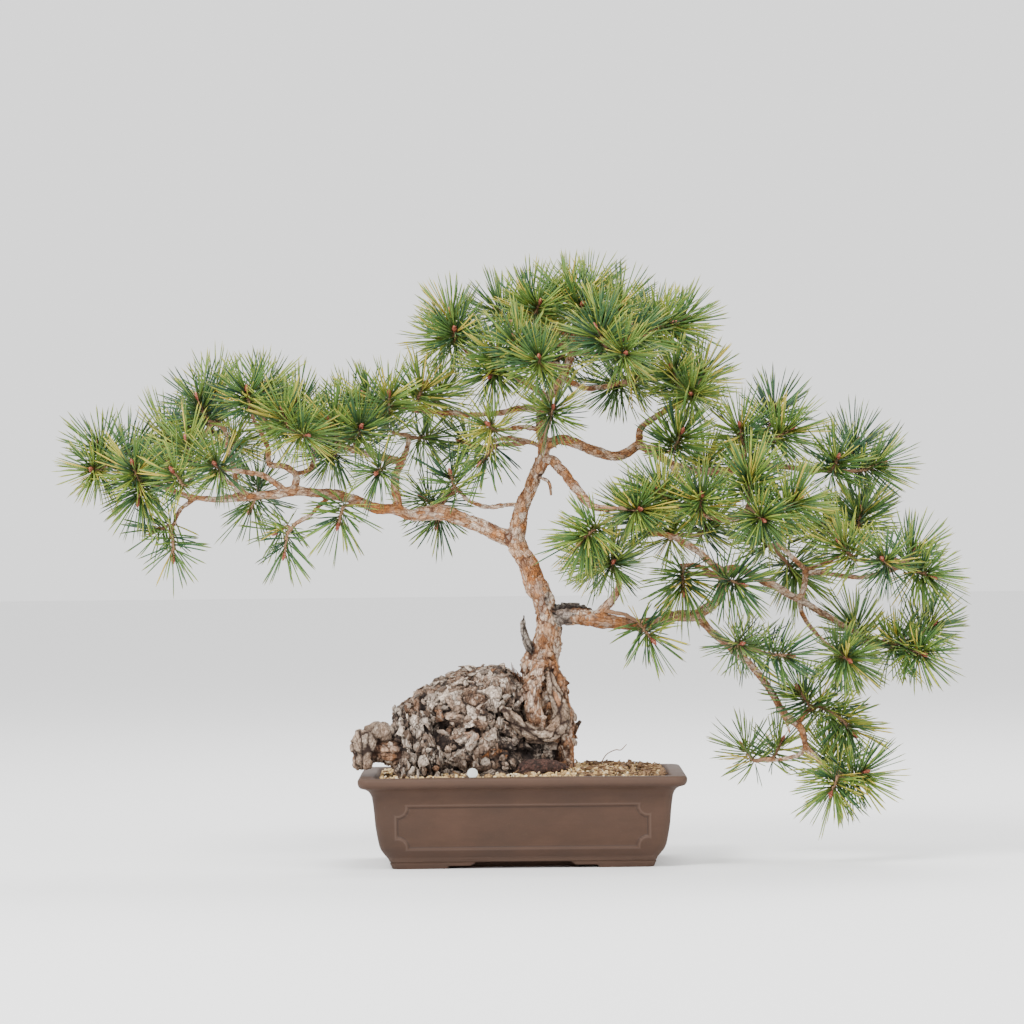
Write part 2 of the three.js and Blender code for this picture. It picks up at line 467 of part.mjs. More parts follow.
// The sprays of needles: where the bud of each shoot is, and how much the shoot turns up (or down).
const SPRAYS = {
  left_tip: ["leftMain", [-367, -22, 370], [-370, -52, 349, 0.2], [-345, 22, 368]],
  left_tip_front: ["leftMain", [-333, -65, 353], [-329, -46, 323, -0.6]],
  left_tip_back: ["leftMain", [-313, 34, 383], [-322, 58, 352, 0.3]],
  left_low_front: ["leftFront", [-298, -72, 346], [-289, -42, 372]],
  left_rise: ["leftRise", [-281, -8, 410], [-270, 30, 418], [-290, 18, 384, 0.6], [-252, 56, 374, 0.5]],
  left_hang: ["leftHang", [-318, -34, 294, -0.1], [-301, -46, 272, -0.9]],
  left_under: ["leftMain", [-239, 26, 312, -0.7], [-232, 34, 338, 0.6]],
  left_fork: ["leftFork", [-222, 2, 421], [-236, -34, 416], [-214, 48, 394, 0.6]],
  left_inner: ["leftInner", [-197, 10, 407], [-176, 44, 392, 0.6]],
  left_drop: ["leftDrop", [-206, -24, 274, -0.8], [-214, -2, 292, -0.2]],
  left_cross: ["leftCross", [-262, -66, 352, 0.2]],
  left_upper_tip: ["leftUpper", [-206, -34, 397, 0.7], [-183, -52, 376, 0.1]],
  left_upper: ["leftUpper", [-149, 14, 404], [-164, -22, 389], [-137, -40, 383, 0.4], [-170, 54, 358, 0.2]],
  left_below: ["leftMain", [-158, -30, 299, -0.8]],
  left_star: ["leftUpper", [-123, -62, 343, 0]],
  left_back: ["leftBack", [-122, 34, 395, 0.6], [-76, 44, 376, 0.1]],
  left_high: ["leftHigh", [-134, -2, 411], [-113, -26, 411], [-82, -10, 420], [-66, 34, 418, 0.8]],
  left_mid: ["leftMid", [-60, -12, 342, 0.4], [-73, 24, 298, -0.8], [-86, 28, 322, 0.5]],
  left_shade: ["leftShade", [-33, -12, 352, -0.6], [-52, 44, 372, 0.2]],
  left_near: ["leftNear", [-26, -60, 384, 0.2]],
  crown_far_left: ["crownFarLeft", [-59, -6, 482], [-55, -32, 467, 0.3], [-68, 14, 462, 0.1]],
  crown_left: ["crownLeft", [-24, -40, 426, -0.2], [-18, -54, 447, 0.5]],
  crown_front: ["crownFront", [18, -92, 440, 0.3], [-2, -66, 456, 0.6]],
  crown_top_left: ["crownTop", [-18, 24, 488, 0.7], [14, 8, 497], [19, -36, 489, 0.7]],
  crown_top: ["trunk", [42, -8, 502], [64, 14, 505], [56, -42, 487, 0.6]],
  crown_right: ["crownRight", [92, -86, 443, 0.1], [68, -78, 464, 0.6]],
  crown_right_top: ["crownFarRight", [77, -58, 477, 0.7], [93, 8, 492], [106, -48, 460, 0.3]],
  crown_far_right: ["crownFarRight", [134, -12, 472, 0.3], [122, 28, 480, 0.8], [148, 6, 476, 0.4]],
  crown_trunk: ["trunk", [30, -58, 398, 0]],
  crown_low: ["crownLow", [112, 46, 432, 0.4], [84, 66, 420, 0]],
  crown_back: ["crownBack", [50, 90, 462, 0.4], [18, 70, 474, 0.8], [86, 68, 474, 0.8], [28, 94, 438, 0]],
  right_rise: ["rightRise", [163, 8, 430, 0.6], [134, -30, 432, 0.5], [150, -38, 409, 0.2], [150, 62, 422, 0.5]],
  right_bud: ["rightSpine", [141, -44, 375, 0.9]],
  right_spine_back: ["rightSpine", [168, 56, 352, 0.3], [214, 62, 350, 0.3]],
  right_peak: ["rightPeak", [193, -28, 380, 0.6], [228, 12, 398], [238, -16, 378, 0.3]],
  right_spine_tip: ["rightSpine", [278, -30, 352, 0.5], [299, 18, 366, 0.7], [318, -6, 347, 0.2]],
  right_shelf_left: ["rightShelf", [156, -78, 320, 0.5], [118, -66, 326, 0.4]],
  right_shelf: ["rightShelf", [199, -76, 338, 0.9], [208, -96, 299, 0], [240, -72, 316, 0.4]],
  right_front: ["rightFront", [103, -82, 309, 0.1], [52, -84, 282, -0.2]],
  right_outer: ["rightOuter", [299, -8, 305, 0.7], [306, 34, 312, 0.6], [268, 52, 296, 0.4]],
  right_edge: ["rightEdge", [345, -20, 272, 0.5], [277, -56, 278, 0.6], [312, -72, 264, 0.2], [357, -44, 248, 0]],
  right_inner: ["rightInner", [80, -66, 264, 0.1], [62, 0, 268, 0.4]],
  right_hang: ["rightInner", [114, -44, 196, -0.4]],
  right_behind: ["rightBehind", [136, 68, 292, 0.4], [106, 44, 306, 0.6], [176, 84, 300, 0.5]],
  right_below: ["rightBelow", [142, -34, 238, -0.6], [192, -54, 243, -0.1]],
  right_turn: ["rightTurn", [216, 52, 288, 0.5], [250, 50, 246, 0]],
  right_main_tip: ["rightMain", [332, -30, 192, 0.3], [362, -8, 206, 0.3], [349, -48, 181, -0.1], [294, 28, 206, 0.6]],
  right_down: ["rightDown", [283, -60, 177, 0], [292, -22, 176, 0.2]],
  cascade_high: ["cascade", [191, -54, 192, 0.1], [232, -58, 181, 0.1], [207, 34, 186, 0.3]],
  cascade_out: ["cascadeOut", [276, -2, 126, 0], [290, -18, 112, -0.2], [243, -18, 150, 0.6]],
  cascade_tip: ["cascade", [298, -36, 78, 0.1], [272, 12, 92, 0.6], [268, -48, 62, -0.7]],
  cascade_in: ["cascadeIn", [196, 28, 98, 0.5], [231, 30, 102, 0.6]],
};

function pointOn(route, share) {
  const scaled = Math.min(Math.max(share, 0), 1) * (route.length - 1);
  const index = Math.min(Math.floor(scaled), route.length - 2);
  const low = route[index];
  const high = route[index + 1];
  return low.map((value, k) => value + (high[k] - value) * (scaled - index));
}

// Where a twig to this place leaves a route: near by, and so that the twig leans outwards.
function leavingPoint(route, place) {
  const steps = route.length * 6;
  let best = null;
  for (let i = 1; i <= steps; i++) {
    const here = pointOn(route, i / steps);
    const before = pointOn(route, (i - 1) / steps);
    const forward = vector(here).sub(vector(before)).normalize();
    const away = vector(place).sub(vector(here));
    const ahead = forward.dot(away.clone().normalize());
    const runsAlong = ahead > 0.85 && i < steps ? 30 : 0;
    const cost = away.length() * (1.25 - 0.45 * ahead) + runsAlong;
    if (best && cost >= best.cost) continue;
    best = { cost, place: vector(here), radius: here[3], forward, isEnd: i === steps, share: i / steps };
  }
  return best;
}

// A curved twig from one place and direction to another, as points [x, y, z, radius].
function twigRoute(start, startWay, end, endWay, count) {
  const reach = start.distanceTo(end) * 0.35;
  const handles = [start.clone().addScaledVector(startWay, reach), end.clone().addScaledVector(endWay, -reach)];
  const curve = new THREE.CubicBezierCurve3(start, ...handles, end);
  return curve.getPoints(count).map((p, k) => [...p.toArray(), TWIG.radius - 0.12 * k]);
}

// Makes room on a route for side shoots: each leaves between two rings set close together.
function withCollars(route, shares) {
  const near = 0.5 / (route.length - 1);
  const length = vector(route[0]).distanceTo(vector(route[route.length - 1]));
  const half = Math.min(TWIG.collar / length, 0.12);
  const kept = route.map((_, i) => i / (route.length - 1));
  const plain = kept.filter((at, i) => {
    const isEnd = i === 0 || i === route.length - 1;
    return isEnd || shares.every((share) => Math.abs(share - at) > near);
  });
  const stations = [...plain, ...shares.flatMap((share) => [share - half, share + half])];
  return stations.sort((a, b) => a - b).map((at) => pointOn(route, at));
}

// The shoots of one spray: each [route, bud, heading]. The first leaves a limb, the others leave the first.
function sprayPlan([limb, first, ...others]) {
  const headingOf = (from, [x, y, z, lift = 0.9]) =>
    new THREE.Vector3(x, y, z).sub(from).normalize().addScaledVector(UP, lift).normalize();
  const shootFrom = (place, startWay, bud) => {
    const heading = headingOf(place, bud);
    const foot = vector(bud).addScaledVector(heading, -SHOOT.length);
    const count = place.distanceTo(foot) > 42 ? 3 : 2;
    return { route: twigRoute(place, startWay, foot, heading, count), bud: vector(bud), heading, foot };
  };
  const carrier = LIMBS[limb];
  const leaving = leavingPoint(carrier, first);
  const outward = vector(first).sub(leaving.place).normalize();
  const across = outward.clone().addScaledVector(leaving.forward, -outward.dot(leaving.forward)).normalize();
  const startWay = leaving.isEnd
    ? outward.clone().add(leaving.forward).normalize()
    : across.multiplyScalar(0.8).addScaledVector(leaving.forward, 0.6).normalize();
  const seat = leaving.isEnd ? leaving.forward.clone() : across.clone().normalize();
  const depth = GAP + (leaving.isEnd ? 0.1 : leaving.radius * 1.06 + 0.2);
  const origin = leaving.place.clone().addScaledVector(startWay, (depth + 1.2) / startWay.dot(seat));
  const main = shootFrom(origin, startWay, first);
  main.seat = { place: leaving.place, way: seat, depth };
  const shoots = [main];
  const shares = [];
  for (const bud of others) {
    const { share } = leavingPoint(main.route, bud);
    const free = [0.22, 0.5, 0.78].filter((slot) => !shares.includes(slot));
    shares.push(free.sort((a, b) => Math.abs(a - share) - Math.abs(b - share))[0]);
  }
  others.forEach((bud, i) => {
    const place = vector(pointOn(main.route, shares[i]));
    const ahead = vector(pointOn(main.route, shares[i] + 0.05)).sub(place).normalize();
    const away = vector(bud).sub(place).normalize();
    const side = away.clone().addScaledVector(ahead, -away.dot(ahead)).normalize();
    const way = side.addScaledVector(ahead, 0.5).normalize();
    const shoot = shootFrom(place.clone().addScaledVector(way, TWIG.radius * 0.5), way, bud);
    shoots.push({ ...shoot, way, share: shares[i] });
  });
  main.route = withCollars(main.route, shares);
  return { shoots };
}

// Everything that a needle has to stay clear of: limbs, twigs and the needles placed so far.
const obstacles = [];
function addObstacle(a, b, radius, taper, owner) {
  const reach = a.distanceTo(b) / 2 + radius;
  obstacles.push({ a, b, radius, taper, owner, reach, middle: a.clone().lerp(b, 0.5) });
}

function addRoute(route, owner) {
  for (let i = 0; i < route.length - 1; i++) {
    const radius = Math.max(route[i][3], route[i + 1][3]);
    addObstacle(vector(route[i]), vector(route[i + 1]), radius, 0, owner);
  }
}

const onOther = new THREE.Vector3();
const onNeedle = new THREE.Vector3();
const line = new THREE.Line3();
function isClear(root, tip, thick, owner) {
  const middle = root.clone().lerp(tip, 0.5);
  const half = root.distanceTo(tip) / 2;
  for (const other of obstacles) {
    if (other.middle.distanceTo(middle) > half + other.reach + thick + 2) continue;
    const ownShoot = other.owner === owner && (other.a.distanceTo(root) < SHOOT.length || !other.taper);
    line.set(other.a, other.b);
    for (let i = ownShoot ? 2 : 0; i <= 10; i++) {
      const share = i / 10;
      onNeedle.copy(root).lerp(tip, share);
      const along = line.closestPointToPointParameter(onNeedle, true);
      line.at(along, onOther);
      const needed = thick * (1 - share) + other.radius * (1 - other.taper * along);
      const spare = ownShoot ? 0.2 - thick : GAP + 0.8;
      if (onOther.distanceTo(onNeedle) < Math.max(needed + spare, 0.3)) return false;
    }
  }
  return true;
}

// Where a needle that grows from one face of a shoot would end. It leans closer to the shoot towards the bud.
function needleTip(shoot, root, attempt) {
  const share = THREE.MathUtils.clamp(root.clone().sub(shoot.foot).dot(shoot.heading) / SHOOT.length, 0, 1);
  const outward = root.clone().sub(shoot.foot);
  outward.addScaledVector(shoot.heading, -outward.dot(shoot.heading)).normalize();
  const [leanMore, turnMore] = NEEDLE.attempts[attempt];
  const lean = THREE.MathUtils.degToRad(96 - 68 * share + leanMore);
  outward.applyAxisAngle(shoot.heading, turnMore);
  const length = NEEDLE.length - NEEDLE.shorterAtFoot * (1 - share) + between(-0.5, 0.5) * NEEDLE.spread;
  return root
    .clone()
    .addScaledVector(shoot.heading, Math.cos(lean) * length)
    .addScaledVector(outward, Math.sin(lean) * length);
}

// A spray as one closed skin. Slim three-sided twigs carry shoots whose faces are drawn out into needles.
function sprayGeometry({ shoots }, owner) {
  const positions = [];
  const faces = [];
  const addRing = (points) => points.map((point) => positions.push(point) - 1);
  const middleOf = (face) =>
    face.reduce((sum, k) => sum.add(vector(positions[k])), new THREE.Vector3()).divideScalar(face.length);
  const normalOf = ([a, b, c]) => {
    const [p, q, r] = [a, b, c].map((k) => vector(positions[k]));
    return q.sub(p).cross(r.sub(p)).normalize();
  };

  const drawOut = (face, shoot) => {
    const middle = middleOf(face);
    const along = middle.clone().sub(shoot.foot).dot(shoot.heading);
    const root = middle.clone().lerp(shoot.foot.clone().addScaledVector(shoot.heading, along), 0.3);
    for (let attempt = 0; attempt < NEEDLE.attempts.length; attempt++) {
      const tip = needleTip(shoot, middle, attempt);
      if (!isClear(root, tip, NEEDLE.thick, owner)) continue;
      addObstacle(root, tip, NEEDLE.thick, 1, owner);
      const apex = positions.push(tip.toArray()) - 1;
      face.forEach((corner, k) => faces.push([corner, face[(k + 1) % 3], apex]));
      return;
    }
    faces.push(face);
  };

  const facesBetween = (low, high) =>
    low.flatMap((a, k) => {
      const next = (k + 1) % 3;
      return [[a, low[next], high[next]], [a, high[next], high[k]]];
    });

  // Skins one shoot from its first ring on, and returns the faces of its twig.
  const skin = (firstRing, shoot, firstColumn) => {
    const twig = shoot.route.slice(1);
    const tips = Array.from({ length: SHOOT.rows }, (_, i) => {
      const at = shoot.foot.clone().addScaledVector(shoot.heading, (SHOOT.length * (i + 1)) / SHOOT.rows);
      return [...at.toArray(), SHOOT.radius - 0.2 * i];
    });
    const points = sweepRings([shoot.route[0], ...twig, ...tips], 3, undefined, firstColumn);
    const twigFaces = [];
    let ring = firstRing ?? addRing(points.slice(0, 3));
    const start = ring;
    for (let row = 1; row <= twig.length + tips.length; row++) {
      const nextRing = addRing(points.slice(row * 3, row * 3 + 3));
      const between = facesBetween(ring, nextRing);
      if (row <= twig.length) twigFaces.push(...between.map((face) => ({ face, row })));
      else between.forEach((face) => drawOut(face, shoot));
      ring = nextRing;
    }
    drawOut(ring, shoot);
    return { twigFaces, start };
  };

  const [main, ...others] = shoots;
  const { twigFaces, start } = skin(null, main);
  const { place, way, depth } = main.seat;
  const back = main.route[0];
  const startWay = vector(main.route[1]).sub(vector(back)).normalize();
  for (const k of start) {
    const corner = vector(positions[k]);
    const short = depth - corner.clone().sub(place).dot(way);
    positions[k] = corner.addScaledVector(startWay, short / startWay.dot(way)).toArray();
  }
  faces.push([start[2], start[1], start[0]]);

  for (const shoot of others) {
    const origin = vector(shoot.route[0]);
    const cost = ({ face }) => middleOf(face).distanceTo(origin) - 2.5 * normalOf(face).dot(shoot.way);
    const chosen = twigFaces.reduce((best, next) => (cost(next) < cost(best) ? next : best));
    twigFaces.splice(twigFaces.indexOf(chosen), 1);
    const middle = middleOf(chosen.face);
    const firstColumn = vector(positions[chosen.face[0]]).sub(middle);
    shoot.route[0] = [...middle.toArray(), TWIG.radius];
    const branch = skin(chosen.face, shoot, firstColumn);
    faces.push(...branch.twigFaces.map(({ face }) => face));
  }
  faces.push(...twigFaces.map(({ face }) => face));

  const geometry = new THREE.BufferGeometry();
  geometry.setAttribute("position", new THREE.Float32BufferAttribute(positions.flat(), 3));
  geometry.setIndex(faces.flat());
  geometry.computeVertexNormals();
  return geometry;
}

// The soil: a mound of grit that fills the pot, higher in the middle and behind the foot of the trunk.
function soilHeight(x, y) {
  const dome = 4.5 * (1 - (x / 132) ** 2) * (1 - (y / 86) ** 2);
  const mound = 7 * Math.exp(-((x - 66) ** 2) / 3800 - ((y - 14) ** 2) / 2400);
  const grit = 0.8 * Math.sin(x * 0.53 + y * 0.4) * Math.sin(y * 0.41 - x * 0.27);
  return SOIL_TOP + dome + mound + grit;
}

function soilSolid() {
  const block = new THREE.BoxGeometry(POT.length, POT.width, 1, 20, 12, 1);
  const position = block.attributes.position;
  for (let i = 0; i < position.count; i++) {
    const x = position.getX(i);
    const y = position.getY(i);
    position.setZ(i, position.getZ(i) > 0 ? soilHeight(x, y) : POT.floorTop + GAP);
  }
  let soil = solidOf(block).intersect(potLoft(CAVITY_LEVELS, GAP));
  soil = soil.subtract(soilHole()).subtract(tagSolid(GAP));
  const pocket = NET.size + 2 * GAP;
  for (const side of [-1, 1]) {
    const depth = 2 * (NET.thickness + 2 * GAP);
    soil = soil.subtract(boxSolid([pocket, pocket, depth], [side * DRAIN.x, 0, POT.floorTop + GAP / 2]));
  }
  return soil.decompose().sort((a, b) => b.volume() - a.volume())[0];
}

// A small blank round tag that lies in the grit.
const TAG = { x: -43, y: -67, radius: 4.6, thickness: 1.4, lean: 0.3, rise: 3.7 };
function tagSolid(grow) {
  const disc = new THREE.CylinderGeometry(TAG.radius + grow, TAG.radius + grow, TAG.thickness + 2 * grow, 12);
  disc.rotateX(-TAG.lean).translate(TAG.x, TAG.y, soilHeight(TAG.x, TAG.y) + TAG.rise);
  return solidOf(disc);
}

// Trims a spray so that it stands clear of the limb that carries it and of the trunk.
function seated(solid, limb) {
  const trimmed = solid.subtract(limbSolid(LIMBS[limb], GAP)).subtract(limbSolid(LIMBS.trunk, GAP));
  return trimmed.decompose().sort((a, b) => b.volume() - a.volume())[0];
}

// Assembly
const bonsai = new THREE.Group();
bonsai.add(meshOf("pot", potSolid(), MATERIALS.clay));
bonsai.add(meshOf("drainage_net_left", netSolid(-1), MATERIALS.netting));
bonsai.add(meshOf("drainage_net_right", netSolid(1), MATERIALS.netting));
bonsai.add(meshOf("soil", soilSolid(), MATERIALS.soil));
bonsai.add(meshOf("tag", tagSolid(0), MATERIALS.tag));

for (const route of [...Object.values(LIMBS), ...Object.values(ROOTS)]) addRoute(route, "wood");
const deeper = ([x, y, z, ...rest]) => [x, y * DEPTH, z, ...rest];
const plans = Object.entries(SPRAYS).map(([name, [limb, ...buds]]) => [name, sprayPlan([limb, ...buds.map(deeper)])]);
for (const [name, plan] of plans) {
  for (const shoot of plan.shoots) {
    addRoute(shoot.route, name);
    addObstacle(shoot.foot, shoot.bud, SHOOT.radius + 0.2, 0, name);
  }
}

const wood = joined([
  stumpSolid(0),
  ...Object.values(LIMBS).map((route) => limbSolid(route)),
  ...Object.values(ROOTS).map((route) => limbSolid(route)),
  ...Object.values(BURLS).map(burlSolid),
]).subtract(boxSolid(...BELOW_FOOT));
bonsai.add(meshOf("tree_wood", wood, MATERIALS.bark));

for (const [name, plan] of plans) {
  const geometry = sprayGeometry(plan, name);
  const solid = solidOf(geometry);
  const spray = new THREE.Mesh(geometry, MATERIALS.needles);
  spray.name = "needles_" + name;
  const bitesWood = wood.intersect(solid).volume() > 0.001;
  bonsai.add(bitesWood ? meshOf(spray.name, seated(solid, SPRAYS[name][0]), MATERIALS.needles) : spray);
}

export default bonsai;
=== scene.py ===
import bpy
import math
import numpy as np
from mathutils import Vector, Matrix, kdtree
from mathutils.bvhtree import BVHTree


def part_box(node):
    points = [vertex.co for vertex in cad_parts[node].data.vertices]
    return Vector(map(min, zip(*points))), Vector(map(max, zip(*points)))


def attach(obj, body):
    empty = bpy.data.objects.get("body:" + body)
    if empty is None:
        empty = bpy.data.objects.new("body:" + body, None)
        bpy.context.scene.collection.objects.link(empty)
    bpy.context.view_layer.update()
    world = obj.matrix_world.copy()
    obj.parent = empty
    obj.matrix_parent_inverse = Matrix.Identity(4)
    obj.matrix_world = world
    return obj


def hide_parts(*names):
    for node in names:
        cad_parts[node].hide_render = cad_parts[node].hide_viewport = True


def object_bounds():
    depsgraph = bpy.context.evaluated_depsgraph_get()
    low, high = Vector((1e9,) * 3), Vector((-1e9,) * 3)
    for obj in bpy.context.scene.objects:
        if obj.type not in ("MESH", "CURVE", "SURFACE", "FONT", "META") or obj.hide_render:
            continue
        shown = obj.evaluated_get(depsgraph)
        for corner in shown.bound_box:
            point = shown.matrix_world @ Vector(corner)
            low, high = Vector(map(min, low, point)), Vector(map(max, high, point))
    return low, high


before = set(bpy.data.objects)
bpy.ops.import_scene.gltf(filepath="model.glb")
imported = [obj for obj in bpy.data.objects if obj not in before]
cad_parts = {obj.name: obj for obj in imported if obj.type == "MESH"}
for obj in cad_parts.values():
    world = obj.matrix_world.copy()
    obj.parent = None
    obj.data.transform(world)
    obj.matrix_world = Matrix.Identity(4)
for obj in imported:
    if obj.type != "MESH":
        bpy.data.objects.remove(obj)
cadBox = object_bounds()
print("frame loaded")

mm = 0.001


# shader helper: expressions on values add Math nodes
def plug(slot, value):
    if isinstance(value, Wire):
        slot.id_data.links.new(value.socket, slot)
    elif hasattr(slot.default_value, "__len__") and not hasattr(value, "__len__"):
        slot.default_value = [value] * len(slot.default_value)
    elif hasattr(value, "__len__") and len(slot.default_value) == 4 and len(value) == 3:
        slot.default_value = (*value, 1.0)
    else:
        slot.default_value = value


class Wire:
    def __init__(self, socket):
        self.socket = socket

    def math(self, operation, *others, clamp=False):
        node = self.socket.id_data.nodes.new("ShaderNodeMath")
        node.operation = operation
        node.use_clamp = clamp
        for slot, value in zip(node.inputs, (self, *others)):
            plug(slot, value)
        return Wire(node.outputs[0])

    def __add__(self, other):
        return self.math("ADD", other)

    def __mul__(self, other):
        return self.math("MULTIPLY", other)

    def __rsub__(self, other):
        return self.math("MULTIPLY", -1.0).math("ADD", other)

    def __sub__(self, other):
        return self.math("SUBTRACT", other)

    __radd__ = __add__

    def clamped(self):
        return self.math("ADD", 0.0, clamp=True)


class Finish:
    def __init__(self, name):
        self.material = bpy.data.materials.new(name)
        self.material.use_nodes = True
        self.tree = self.material.node_tree
        self.shader = self.tree.nodes["Principled BSDF"]

    def node(self, kind, sockets=(), output=0, stops=None, **settings):
        node = self.tree.nodes.new("ShaderNode" + kind)
        for key, value in settings.items():
            setattr(node, key, value)
        if stops:
            ramp = node.color_ramp
            while len(ramp.elements) < len(stops):
                ramp.elements.new(0.5)
            for element, (place, color) in zip(ramp.elements, stops):
                element.position = place
                element.color = (*color, 1.0)
        for key, value in dict(sockets).items():
            plug(node.inputs[key], value)
        return Wire(node.outputs[output])

    def place(self, scale=1.0):
        point = self.node("TexCoord", output="Object")
        return self.node("Mapping", {"Vector": point, "Scale": scale})

    def noise(self, size, detail=4.0, roughness=0.55, stretch=(1, 1, 1)):
        scale = tuple(s / size for s in stretch)
        sockets = {"Vector": self.place(scale), "Scale": 1.0, "Detail": detail, "Roughness": roughness}
        return self.node("TexNoise", sockets, output="Fac")

    def mix(self, factor, low, high, **settings):
        sockets = {"Factor": factor, 6: low, 7: high}
        return self.node("Mix", sockets, output=2, data_type="RGBA", **settings)

    def tint(self, color, factor):
        return self.mix(1.0, color, factor, blend_type="MULTIPLY")

    def ramp(self, factor, stops):
        return self.node("ValToRGB", {"Fac": factor}, stops=stops)

    def attribute(self, name):
        return self.node("Attribute", output="Fac", attribute_name=name)

    def set(self, **sockets):
        for key, value in sockets.items():
            plug(self.shader.inputs[key.replace("_", " ")], value)

    def bump(self, height, strength, distance):
        sockets = {"Height": height, "Strength": strength, "Distance": distance}
        plug(self.shader.inputs["Normal"], self.node("Bump", sockets))


# finishes

# colours along a noise or a tone from 0 to 1; the last four only darken what lies under them, and of these
# leaves and hairs are painted shade at the foot of each thin leaf of bark
ramps = {
    "clay": [(0.32, (0.037, 0.0165, 0.0078)), (0.5, (0.046, 0.0205, 0.0102)), (0.68, (0.058, 0.027, 0.0145))],
    "needles": [(0.0, (0.02, 0.056, 0.034)), (0.22, (0.042, 0.108, 0.044)), (0.48, (0.105, 0.2, 0.04)),
                (0.72, (0.22, 0.315, 0.05)), (1.0, (0.55, 0.43, 0.07))],
    "twig": [(0.25, (0.13, 0.065, 0.035)), (0.5, (0.27, 0.15, 0.085)), (0.75, (0.4, 0.25, 0.16))],
    "bud": [(0.35, (0.16, 0.03, 0.018)), (0.52, (0.33, 0.075, 0.04)), (0.7, (0.58, 0.27, 0.19))],
    "grit": [(0.0, (0.06, 0.035, 0.022)), (0.12, (0.2, 0.115, 0.06)), (0.3, (0.42, 0.27, 0.13)),
             (0.55, (0.55, 0.37, 0.16)), (0.8, (0.68, 0.51, 0.28)), (1.0, (0.8, 0.7, 0.52))],
    "young": [(0.12, (0.16, 0.064, 0.027)), (0.28, (0.48, 0.22, 0.092)), (0.46, (0.7, 0.44, 0.26)),
              (0.68, (0.9, 0.77, 0.64))],
    "old": [(0.12, (0.045, 0.028, 0.019)), (0.28, (0.19, 0.126, 0.088)), (0.46, (0.47, 0.35, 0.265)),
            (0.68, (0.85, 0.73, 0.61))],
    "worn": [(0.3, (0.12, 0.08, 0.052)), (0.5, (0.41, 0.31, 0.225)), (0.68, (0.7, 0.59, 0.47))],
    "silver": [(0.34, (0.06, 0.051, 0.044)), (0.5, (0.29, 0.262, 0.232)), (0.66, (0.56, 0.525, 0.475))],
    "ruddy": [(0.3, (0.06, 0.026, 0.02)), (0.6, (0.15, 0.075, 0.058))],
    "grain": [(0.3, (0.5, 0.47, 0.45)), (0.5, (0.95, 0.95, 0.95)), (0.72, (1.0, 1.0, 1.0))],
    "leaves": [(0.0, (0.36, 0.32, 0.3)), (0.26, (0.95, 0.94, 0.93)), (1.0, (1.0, 1.0, 1.0))],
    "pores": [(0.3, (0.66, 0.62, 0.56)), (0.6, (1.0, 1.0, 1.0))],
    "hairs": [(0.0, (0.58, 0.53, 0.5)), (0.3, (0.98, 0.97, 0.97)), (1.0, (1.0, 1.0, 1.0))],
}
# the pot's sunk panels in millimetres: half lengths of the long and short ones, where the pot's ends begin,
# the middle and half of their height, the radius of the scooped corners and the width of the slope round them
panel = {"long": 108, "short": 61, "ends": 118, "middle": 36.5, "half": 17.5, "scoop": 9.5, "slope": 1.3}


def clayFinish():
    f = Finish("unglazedClay")
    broad = f.noise(45 * mm, 5.0)
    streak = f.noise(7 * mm, 5.0, stretch=(0.3, 0.3, 1))
    speck = f.noise(1.1 * mm, 3.0, 0.7)
    base = f.ramp(broad * 0.65 + streak * 0.35, ramps["clay"])
    dusty = f.mix(((speck - 0.6) * 2.2).clamped(), base, (0.1, 0.057, 0.036))
    # lighter where the edge value is high: wear on the lip and on the foot's ledge, and a painted highlight
    # along the panel's sloping border
    worn = f.mix(f.attribute("edge") * 0.5, dusty, (0.088, 0.05, 0.033))
    # the panel's border, drawn from the distance to a rectangle with scooped corners; the dark line in the
    # groove is painted shade and the light line on the ridge outside it is painted highlight
    point = f.node("TexCoord", output="Object")
    x, y, z = (f.node("SeparateXYZ", {0: point}, output=k).math("ABSOLUTE") for k in range(3))
    onEnd = x.math("GREATER_THAN", panel["ends"] * mm)
    u = f.node("Mix", {0: onEnd, 2: panel["long"] * mm - x, 3: panel["short"] * mm - y})
    v = panel["half"] * mm - (z - panel["middle"] * mm).math("ABSOLUTE")
    scoop = (u * u + v * v).math("SQRT") - panel["scoop"] * mm
    inside = u.math("MINIMUM", v).math("MINIMUM", scoop)
    step = (inside * 900.0 + 0.5).clamped()
    groove = (1.0 - (inside * 1000.0 - 0.4).math("ABSOLUTE")).clamped()
    ridge = (1.0 - (inside * 800.0 + 1.5).math("ABSOLUTE")).clamped()
    # painted shade in the groove and painted highlight on the ridge, over the clay's colour
    lined = f.mix(ridge * 0.22, f.mix(groove * 0.5, worn, (0.016, 0.008, 0.005)), (0.16, 0.105, 0.08))
    f.set(Base_Color=lined, Roughness=0.6 + broad * 0.2, Specular_IOR_Level=0.4)
    f.bump(speck * 0.25 + streak * 0.3 - step * 1.2 - groove * 0.4 + ridge * 0.5, 0.4, 0.8 * mm)
    return f.material


